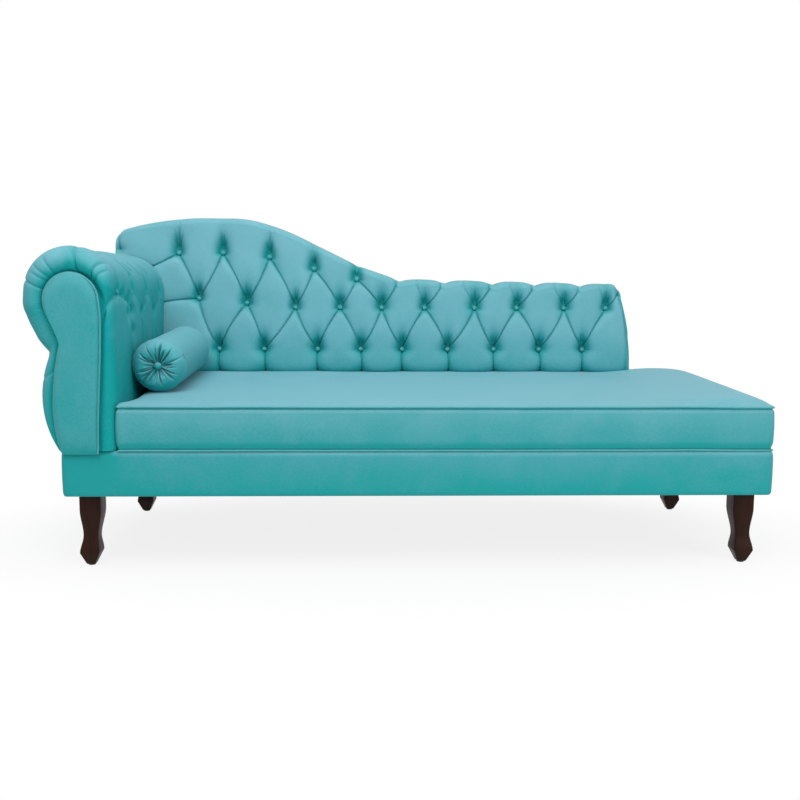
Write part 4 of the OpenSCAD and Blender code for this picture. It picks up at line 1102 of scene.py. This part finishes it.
def facing_outline():
    """The facing's outline, with as many points on the same stretches as the arm's."""
    t = np.linspace(0, 1, side_n)
    side_x = facing_foot_x + (facing_side_x - facing_foot_x) * smooth(t)
    side = np.column_stack([side_x, facing_foot_z + (facing_side_z - facing_foot_z) * t])
    roll = plan_corner(facing_round_x, facing_round_z, facing_round_r, 0, facing_round_end, round_n + 1)[1:]
    return close_outline(side, roll, facing_belly, facing_waist_z, facing_foot_z)


def softened(path, times):
    """A closed outline with its corners rounded; its last point repeats its first."""
    core = path[:-1].copy()
    for _ in range(times):
        core = (np.roll(core, 1, 0) + 2 * core + np.roll(core, -1, 0)) / 4
    return np.vstack([core, core[:1]])


arm_ring = arm_outline()
facing_ring = softened(facing_outline(), 4)
arm_reach = reach_along(arm_ring)
over_reach = arm_reach[side_n + round_n - 1]
foot_l = arm_reach[-1] - arm_reach[-1 - foot_n]
arm_spots = [(b[0], (a[1] + b[1]) / 2, (a[2] + b[2]) / 2) for a, b in button_places("arm_buttons", 0)]
arm_spots.sort(key=lambda p: p[1])


def roll_reach(angle):
    """How far round the arm's outline a point of the roll lies, from its angle in degrees."""
    return arm_reach[side_n - 1] + math.radians(angle) * roll_r


def roll_light():
    """Painted light round the arm's outline: paler over the roll, palest on its outer side."""
    turn = (arm_reach - roll_reach(0)) / roll_r
    over = smooth((turn - 0.25) / 0.5) * smooth((math.radians(205) - turn) / 0.8)
    return 0.05 + 0.18 * over + 0.38 * smooth((turn - math.radians(84)) / 0.35)


def arm_pattern():
    """The arm's upper and lower buttons, as (y from its front, reach round its outline), its folds between
    them, and the folds that hang from them. Each fold has a weight."""
    split_z, mid, last_y = roll_z - 0.02, 0.20, 0.545
    foot_ys = (0.310, 0.420)
    upper = [(p[1] - arm_front_y, roll_reach(0)) for p in arm_spots if p[2] > split_z]
    lower = [(p[1] - arm_front_y, p[2] - arm_foot) for p in arm_spots if p[2] <= split_z]
    panel = [(0.000, 0.372), (0.060, 0.378), (0.120, 0.376), (0.172, 0.364), (0.200, 0.335), (0.208, 0.285)]
    folds = [(a, b, 1.5) for a, b in zip(panel, panel[1:])]
    hanging = [(panel[-1], (0.202, -0.01), 1.3)]
    for k, (p, foot) in enumerate(zip(lower[1:], foot_ys)):
        folds += [(upper[k + 1], p, 0.45), (p, upper[k + 2], 0.45)]
        hanging += [(p, (foot, mid), 1.0), ((foot, mid), (foot - 0.012, -0.01), 1.2)]
    hanging += [(upper[-1], (last_y, mid), 1.0), ((last_y, mid), (last_y, -0.01), 1.2)]
    folds += [(p, (p[0] + 0.01, roll_reach(75)), 0.4) for p in upper[1:]]
    folds.append((upper[0], (0.120, roll_reach(-4)), 0.8))
    return upper, lower, folds, hanging


def arm_tucks():
    """Fine tucks where the cloth is drawn over the roll's front edge. Each runs from one (y from the front,
    angle on the roll in degrees) to another and has a weight."""
    tucks = [
        (0.000, 80, 0.300, 84, 1.9),
        (0.000, 50, 0.050, 34, 1.3),
        (0.000, 38, 0.040, 24, 0.8),
        (0.236, 24, 0.140, 70, 1.3),
        (0.262, 30, 0.175, 74, 1.0),
        (0.330, 24, 0.255, 60, 1.2),
        (0.424, 26, 0.365, 58, 1.0),
        (0.000, 126, 0.036, 124, 0.8),
        (0.000, 140, 0.040, 142, 0.6),
        (0.000, 149, 0.034, 152, 0.5),
        (0.000, 166, 0.070, 164, 0.9),
    ]
    below = over_reach + 0.175
    on_roll = [((y, roll_reach(a)), (to_y, roll_reach(b)), weight) for y, a, to_y, b, weight in tucks]
    return on_roll + [((0.000, below), (0.036, below), 0.6)]


def arm_rows(turned):
    """Rows of the arm from the facing's edge back: points, distances from the front, the room that folds have
    in the padding, and how near each point is to the tuck beside the facing, which sets its painted shade.
    turned is 1 on the roll."""
    edge_rows, body_rows = 40, 170
    power = 2 / 2.9
    tuck, tuck_reach, swell, tuck_shade = 0.009, 0.009, 0.010, 0.017
    pad, front_pad, spare, least_room = 0.034, 0.012, 0.002, 1e-4
    far = np.linalg.norm(arm_ring - facing_ring, axis=1)
    border = 0.74 * far
    none = np.zeros(len(far))
    inner = facing_ring + 0.010 * unit(facing_ring.mean(0) - facing_ring)
    rows = [(at_depth(inner, arm_front_y + 0.0012), none, none + least_room, none + 1)]
    for share in np.arange(edge_rows + 1) / edge_rows:
        turn = math.pi / 2 * share
        c, g = math.cos(turn) ** power, math.sin(turn) ** power
        beside = g * far
        sunk = tuck * (0.1 + 0.9 * turned) * np.exp(-beside / tuck_reach)
        sunk = sunk - swell * np.sin(math.pi * g**0.9) * (0.35 + 0.65 * turned)
        behind = border * (1 - c) + sunk
        beyond = np.maximum(0, pad - (1 - g) * far)
        room = np.maximum(least_room, np.hypot(beyond, np.maximum(0, front_pad - behind)) - spare)
        ring = at_depth(facing_ring + (arm_ring - facing_ring) * g, arm_front_y + behind)
        rows.append((ring, border * share, room, np.exp(-beside / tuck_shade)))
    for share in shares(body_rows):
        y = border + (arm_rear_y - arm_front_y - border) * share
        rows.append((at_depth(arm_ring, arm_front_y + y), y, none + pad - spare, none))
    return [np.array(column) for column in zip(*rows)]


def arm_folds(y, reach):
    """Depth of the arm's folds, pits and tucks at points (y from its front, reach round its outline)."""
    upper, lower, folds, hanging = arm_pattern()
    soft = {"reach": 0.011, "ends_deep": 0.0135, "mid_deep": 0.0050, "slit": 0.0035, "slit_width": 0.0024}
    tight = {"reach": 0.0075, "ends_deep": 0.0100, "mid_deep": 0.0085, "slit": 0.0045, "slit_width": 0.0022}
    fold, slit = crease_field(y, reach, folds, bow=0.05, **soft)
    drop, drop_slit = crease_field(y, reach, hanging, bow=0.03, **tight)
    pits = np.maximum(
        button_pits(y, reach, upper, deep=0.016, core=0.004, reach=0.012, up_share=0.42, down_share=0.9),
        button_pits(y, reach, lower, deep=0.012, core=0.004, reach=0.009, up_share=0.8, down_share=0.8),
    )
    deep = (fold**3 + pits**3 + drop**3) ** (1 / 3) + np.maximum(slit, drop_slit)
    for i, (w, s) in enumerate(upper + lower):
        deep = deep + fan_pleats(reach, y, s, w, reach=0.026, count=10, spread=3.0, deep=0.0014, seed=300 + i)
    deep = deep + 0.0008 * (1 + ripple(y, reach, 0.12, 17))
    deep = deep * smooth((roll_reach(125) - reach) / 0.10)
    for a, b, weight in arm_tucks():
        d, t, _ = line_distance(y, reach, a, b)
        fade = 1 - smooth((t - 0.35) / 0.65)
        deep = deep + weight * fade * (0.0034 * np.exp(-((d / 0.0019) ** 2)) + 0.0024 * np.exp(-d / 0.006))
    return deep


def arm_rings():
    """Rings from the facing's edge back to the arm's rear end, with their painted light and shade."""
    turn = (arm_reach - roll_reach(0)) / roll_r
    rings, y, room, tucked = arm_rows(smooth((turn + 0.3) / 0.6) * smooth((math.radians(230) - turn) / 0.6))
    reach = np.broadcast_to(arm_reach, y.shape)
    fade = smooth(reach / 0.012) * smooth((arm_reach[-1] - foot_l - reach) / 0.03)
    rim = smooth(np.arange(len(rings)) / 3.0)[:, None]
    deep = room * np.tanh(arm_folds(y, reach) * fade * rim / room)
    x, z = rings[..., 0], rings[..., 2]
    # Painted light high on the inner face; painted shade in the folds and in the tuck beside the facing.
    high_up = smooth((z - arm_foot - 0.16) / 0.17) * smooth((x - roll_x - 0.02) / 0.05)
    painted_light = roll_light() + 0.20 * high_up - 16.0 * deep - 0.7 * tucked
    puff = smooth(turn / 0.5) * smooth((math.radians(215) - turn) / 0.4)
    deep = deep - 0.0045 * puff * np.exp(-(((y - 0.045) / 0.045) ** 2)) * rim
    out = grid_normals(rings, loop=True)
    outward = np.sign(out[80, side_n // 2, 0])
    rings = rings - out * outward * deep[..., None]
    rings[..., 2] = np.maximum(rings[..., 2], arm_foot)
    x, z = rings[..., 0], rings[..., 2]
    lean = back_lean * np.maximum(0, z - back_foot) / (back_peak - back_foot) - 0.001
    before_back = smooth((x - back_x0 - 0.002) / 0.030) * smooth((z - back_foot) / 0.03)
    rings[..., 1] += np.maximum(0, lean) * before_back * smooth((rings[..., 1] - arm_rear_y + 0.12) / 0.12)
    last, middle = rings[-1], np.array([roll_centre[0], arm_rear_y, roll_centre[1]])
    cap = np.array([last + (middle - last) * t for t in (0.04, 0.15, 0.30, 0.50, 0.70, 0.90)])
    return np.concatenate([rings, cap]), np.concatenate([painted_light, np.zeros(cap.shape[:2])])


def make_arm():
    rings, painted_light = arm_rings()
    # Painted light on the arm: paler where it faces up.
    make_pad("arm_cushion", closed_skin(rings, painted_light=painted_light), "arm_cover", (0, 0.55), velvet_inward)


def dished(outline, centre, rows, calmed=0):
    """Rings from an outline in to its centre, a row as (share inward, y). calmed softens the inner ones."""
    calm = softened(outline, calmed)
    rings = []
    for t, y in rows:
        ring = outline + (calm - outline) * smooth(t / 0.22)
        rings.append(at_depth(ring + (centre - ring) * t, y))
    return np.array(rings)


def inset(outline, by):
    """An outline in x and z moved by a distance against its normals."""
    return outline - outline_normals(outline) * by


def enclosed(path):
    """Area inside a closed outline."""
    x, z = path[:, 0], path[:, 1]
    return abs((x * np.roll(z, 1) - z * np.roll(x, 1)).sum()) / 2


def make_facing():
    """The crowned keyhole panel on the arm's front, with a welt that shows along its right side."""
    pipe_r, pipe_back = 0.0026, 0.0075
    right_gap, left_spread = 0.0026, 0.0012
    side_share, face_share = 0.35, 0.30
    inward = -1 if enclosed(inset(facing_ring, 0.01)) > enclosed(facing_ring) else 1
    place = np.arange(len(facing_ring))
    right = (1 - smooth((place - side_n) / (round_n * 0.6))) * (place < side_n + round_n)
    right[-foot_n:] = 1
    edge = inset(facing_ring, inward * (right_gap * right - left_spread * (1 - right))[:, None])
    edge[-1] = edge[0]
    centre = np.array([base_lo.x + 0.054, 0.50])
    y0, y1 = facing_lo.y, facing_hi.y
    deep = y1 - y0
    rows = [(0.5, y1), (0.0, y1 - 0.0002), (-0.004, y1 - 0.004), (0.0, y1 - side_share * deep)]
    for t in shares(21):
        rows.append((face_share * t, y1 - deep * (side_share + 0.60 * (1 - (1 - t) ** 3.2))))
    for t in shares(15):
        rows.append((face_share + 0.699 * t, y0 + 0.05 * deep * (1 - t)))
    skin = closed_skin(dished(edge, centre, rows, calmed=90))
    # Painted light on the facing: its own level, paler where it faces up.
    make_pad("arm_facing", skin, "arm_facing_pad", painted_lighting=(0.22, 0.4))
    end = side_n + round_n + neck_n + belly_n
    path = inset(facing_ring, inward * pipe_r * (0.6 * right + 2.2 * (1 - right))[:, None])[:end]
    line = at_depth(path, facing_pipe_hi.y - pipe_r - pipe_back * right[:end] - 0.001)
    make_piping("facing_welt", "arm_facing_piping", evenly(line, 0.004), pipe_r)


def make_rear_pad():
    """The arm's rear end, which passes beside the back."""
    limit = back_x0 - soft_gap
    depth = rear_pad_hi.y - arm_rear_y
    rows = []
    for t in np.linspace(0, 1, 30):
        round_off = 1 - 0.10 * max(0, (t - 0.86) / 0.14) ** 2.4
        p = roll_centre + (arm_ring - roll_centre) * round_off
        z = np.maximum(p[:, 1], arm_foot)
        y = arm_rear_y + soft_gap + depth * t
        inner = np.where((z < back_foot - 0.002) | (y > back_hi.y), outside_lo.x - 0.001, limit)
        highest = z[p[:, 0] < inner].max()
        rows.append(points(np.minimum(p[:, 0], inner), y, np.minimum(z, highest)))
    # Painted light round the outline, as on the arm, and paler where it faces up.
    skin = closed_skin(np.array(rows), painted_light=roll_light())
    make_pad("arm_rear_end", skin, "arm_rear_pad", (0, 0.55), velvet_inward)


def make_arm_buttons():
    places = [((x - 0.009, y, z), (1, 0, 0.1)) for x, y, z in arm_spots]
    make_buttons("arm_covered_buttons", "arm_buttons", places, shank=0.012)


make_arm()
make_facing()
make_rear_pad()
make_arm_buttons()

# The outside of the back


def make_outside_back():
    """The plain panel behind the back, slightly padded, with a small return at its right foot."""
    top_gap, edge_step, crown, return_w = 0.006, 0.008, 0.0012, 0.0175
    x0, x1, y0, y1, foot = outside_lo.x, outside_hi.x, outside_lo.y, outside_hi.y, outside_lo.z
    x = np.linspace(x1, x0, 220)
    top = back_line(x) - scallop - top_gap - quarter_drop(np.minimum(x - x0, x1 - x), back_round)
    upper = np.column_stack([back_slant(x, top), top])
    corner_x, corner_z = upper[0]
    low, high = np.linspace(foot, back_foot - 0.0008, 20), np.linspace(back_foot - 0.0002, corner_z, 40)
    z = np.concatenate([low, high[:-1]])
    right = np.column_stack([x1 + (corner_x - x1) * (z - foot) / (corner_z - foot), z])
    left = evenly(np.array([upper[-1], [x0, foot]]), edge_step)[1:]
    under = evenly(np.array([left[-1], right[0]]), edge_step)[1:]
    outline = np.vstack([right, upper, left, under])
    rows = [(0.97, y0), (0.025, y0), (0.023, y0), (0.0, y0), (-0.001, y0 + 0.004), (0.002, y1 - 0.003)]
    rows.append((0.008, y1 - crown))
    rows += [(t, y1 - crown + crown * math.sin(math.pi * t)) for t in np.linspace(0.03, 0.999, 40)]
    rings = dished(outline, np.array([(x0 + x1) / 2, 0.52]), rows)
    turned = (outline[:, 0] > x1 - return_w) & (outline[:, 1] < back_foot - 0.0005)
    rings[2:4, turned, 1] = seat_short_y + 0.0005
    # Painted light on the outside back: paler where it faces up.
    make_pad("outside_back", closed_skin(rings), "back_outside_cover", painted_lighting=(0.3, 0.4))


make_outside_back()

# The bolster

bolster_r = 0.0695
bolster_dish = 0.012
bolster_round = 0.024
bolster_pinch = 0.030
bolster_pleats = 27


def bolster_axis():
    """Middle, direction and half length of the bolster, from its buttons' and its cover's nodes."""
    corners = node_points("bolster_buttons")
    half = (corners[:, 1].min() + corners[:, 1].max()) / 2
    front, rear = corners[corners[:, 1] < half], corners[corners[:, 1] > half]
    a, b = (front.min(0) + front.max(0)) / 2, (rear.min(0) + rear.max(0)) / 2
    way = (b - a) / np.linalg.norm(b - a)
    along = (node_points("bolster_cover") - (a + b) / 2) @ way
    return (a + b) / 2, way, (along.max() - along.min()) / 2


def bolster_rings():
    """Rings from one gathered end, along the bolster, to the other."""
    middle, way, half = bolster_axis()
    side = np.array([1.0, 0, 0])
    up = np.cross(side, way)
    turn = np.linspace(0, 2 * math.pi, 361)
    draws = np.random.default_rng(41)
    n = bolster_pleats
    angles = np.sort((np.arange(n) + draws.uniform(-0.42, 0.42, n)) * 2 * math.pi / n)
    spreads = [(0.30, 1.1), (0.50, 1.12), (0.55, 1.25), (-0.22, 0.22)]
    deeps, longs, widths, bends = (draws.uniform(low, high, n) for low, high in spreads)

    def gathers(share):
        """Depth of the gathers round a ring at this share of the radius."""
        total = np.zeros(len(turn))
        for angle, deep, long, wide, bent in zip(angles, deeps, longs, widths, bends):
            away = np.abs((turn - angle - bent * share + math.pi) % (2 * math.pi) - math.pi)
            width = 0.042 * wide / max(share, 0.12) ** 0.6
            fade = 1 - smooth((share - 0.55 * long) / (0.42 * long))
            total = np.maximum(total, deep * np.exp(-((away / width) ** 2)) * fade)
        return total

    def ring(r, along):
        """The ring of this radius at this distance from the middle."""
        spokes = np.cos(turn)[:, None] * side + np.sin(turn)[:, None] * up
        return middle + r[:, None] * spokes + np.reshape(along, (-1, 1)) * way

    def end(sign):
        """Rings of an end, from near its button out to its edge."""
        made = []
        for share in np.linspace(0.10, 1, 30):
            bowl = bolster_dish * (1 - smooth(share / 0.62)) ** 1.3 + 0.002
            round_off = bolster_round * max(0, (share - 0.55) / 0.45) ** 2.6
            fold = 0.0100 * gathers(share) * smooth(share / 0.22)
            puff = 0.0022 * (1 - gathers(share)) * math.sin(math.pi * share)
            pinch = bolster_pinch * gathers(min(share, 0.97)) * smooth((share - 0.6) / 0.4)
            made.append(ring(bolster_r * share * (1 - pinch), sign * (half - bowl - round_off - fold + puff)))
        return made

    barrel = []
    reach = half - 0.026
    for along in np.linspace(-reach, reach, 60):
        across, tall = bolster_r * np.cos(turn), bolster_r * np.sin(turn)
        sag = 0.0012 * ripple(across + 0.3 * along, tall + along, 0.13, 51)
        near_end = math.exp(-(along + reach) / 0.014) + math.exp(-(reach - along) / 0.014)
        pinch = bolster_r * bolster_pinch * gathers(0.97) * near_end
        barrel.append(ring(bolster_r + (sag - 0.0010) * (1 - near_end) - pinch, along))
    return np.array([*end(-1), *barrel, *end(1)[::-1]])


def make_bolster():
    skin = closed_skin(bolster_rings())
    # Painted light on the bolster: paler where it faces up.
    make_pad("bolster_pillow", skin, "bolster_cover", painted_lighting=(0.30, 0.5), body="bolster")
    middle, way, half = bolster_axis()
    places = [(middle + sign * (half - bolster_dish + 0.002) * way, sign * way) for sign in (-1, 1)]
    size = {"shank": 0.008, "radius": 0.0095, "tall": 0.006}
    make_buttons("bolster_end_buttons", "bolster_buttons", places, body="bolster", **size)


make_bolster()

# The legs: square, with a top block, a waist, a lower bulge and a chamfered foot

leg_w, leg_waist_w, leg_bulge_w, leg_foot_w = 0.053, 0.037, 0.049, 0.022
leg_block_h, leg_waist_z, leg_bulge_z = 0.040, 0.076, 0.034
leg_foot_out = 0.005
leg_edge_r = 0.0032
leg_glide = 0.003


def leg_width(z, neck):
    """Width of a leg at a height; neck is the height of its top block's underside."""
    if z > neck:
        return leg_w
    if z > leg_waist_z:
        return leg_waist_w + (leg_w - leg_waist_w) * smooth((z - leg_waist_z) / (neck - leg_waist_z))
    if z > leg_bulge_z:
        rise = smooth((z - leg_bulge_z) / (leg_waist_z - leg_bulge_z))
        return leg_bulge_w - (leg_bulge_w - leg_waist_w) * rise
    return leg_foot_w + (leg_bulge_w - leg_foot_w) * (z - leg_glide) / (leg_bulge_z - leg_glide)


def make_leg(node):
    """One leg. The inner faces of its top block stand half a block from its middle."""
    lo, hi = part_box(node)
    way_x, way_y = -1 if lo.x < 0 else 1, -1 if lo.y < 0 else 1
    x = (hi.x if way_x < 0 else lo.x) + way_x * leg_w / 2
    y = (hi.y if way_y < 0 else lo.y) + way_y * leg_w / 2
    top, neck = hi.z, hi.z - leg_block_h
    levels = [top, top - 0.001, *np.linspace(top - 0.002, leg_bulge_z + 0.002, 60)]
    levels += [leg_bulge_z + 0.0008, leg_bulge_z, leg_bulge_z - 0.001]
    levels += [*np.linspace(leg_bulge_z - 0.003, leg_glide + 0.001, 12), leg_glide]
    chamfers = {top: 0.0008, leg_glide: 0.001}
    rings = []
    for z in levels:
        half = float(leg_width(z, neck)) / 2 - chamfers.get(z, 0)
        out = leg_foot_out * float(smooth(1 - z / neck))
        ring = rounded_plan(-half, half, -half, half, min(leg_edge_r, half * 0.4), 6, first=0)
        ring = np.vstack([ring, ring[:1]]) + [x + way_x * out, y + way_y * out]
        rings.append(at_height(ring, z))
    make_piece(node + "_turned", closed_skin(np.array(rings)), dark_wood, node)


for node in ("leg_front_left", "leg_front_right", "leg_rear_left", "leg_rear_right"):
    make_leg(node)


# The dust cloth under the couch


def make_dust_cloth():
    """Thin black cloth stretched under the frame, hanging a little between its staples."""
    thick, lap = 0.0006, 0.0002
    x = np.linspace(dust_lo.x, dust_hi.x, 180)[:, None]
    y = np.linspace(dust_lo.y, dust_hi.y, 80)[None]
    edge = np.minimum(np.minimum(x - dust_lo.x, dust_hi.x - x), np.minimum(y - dust_lo.y, dust_hi.y - y))
    sag = 0.0035 * smooth(edge / 0.25) + 0.0006 * ripple(x, y, 0.2, 71) * smooth(edge / 0.05)
    bm = grid_sheet(points(x, y, dust_lo.z + lap - sag))
    bmesh.ops.recalc_face_normals(bm, faces=bm.faces)
    bmesh.ops.solidify(bm, geom=bm.faces[:], thickness=thick)
    piece = make_piece("dust_cloth_sheet", bm, dust_cloth, "dust_cover")


make_dust_cloth()

# Finishes of the inner pieces, which keep their CAD shapes
base_rails = ["base_front_rail", "base_rear_rail", "base_left_rail", "base_arm_rail", "base_right_rail"]
inner_pine = ["base_cross_slats", "corner_blocks", "arm_slats", "back_sill", "back_uprights", "back_top_rail"]
finishes = [
    (pine_along, base_rails + inner_pine),
    (plywood, ["arm_front_former", "arm_rear_former", "arm_facing_board", "back_board"]),
    (steel, ["frame_screws", "dust_cover_staples", "leg_bolts", "leg_tee_nuts", "back_sill_screws"]),
    (webbing, ["webbing_cross", "webbing_long"]),
    (hessian, ["deck_cloth", "arm_lining"]),
    (plastic, ["foot_glides"]),
    (foam, ["seat_foam", "back_foam", "bolster_core"]),
]
for material, nodes in finishes:
    for node in nodes:
        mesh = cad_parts[node].data
        mesh.materials.clear()
        mesh.materials.append(material)

bpy.context.scene.view_settings.view_transform = "Standard"
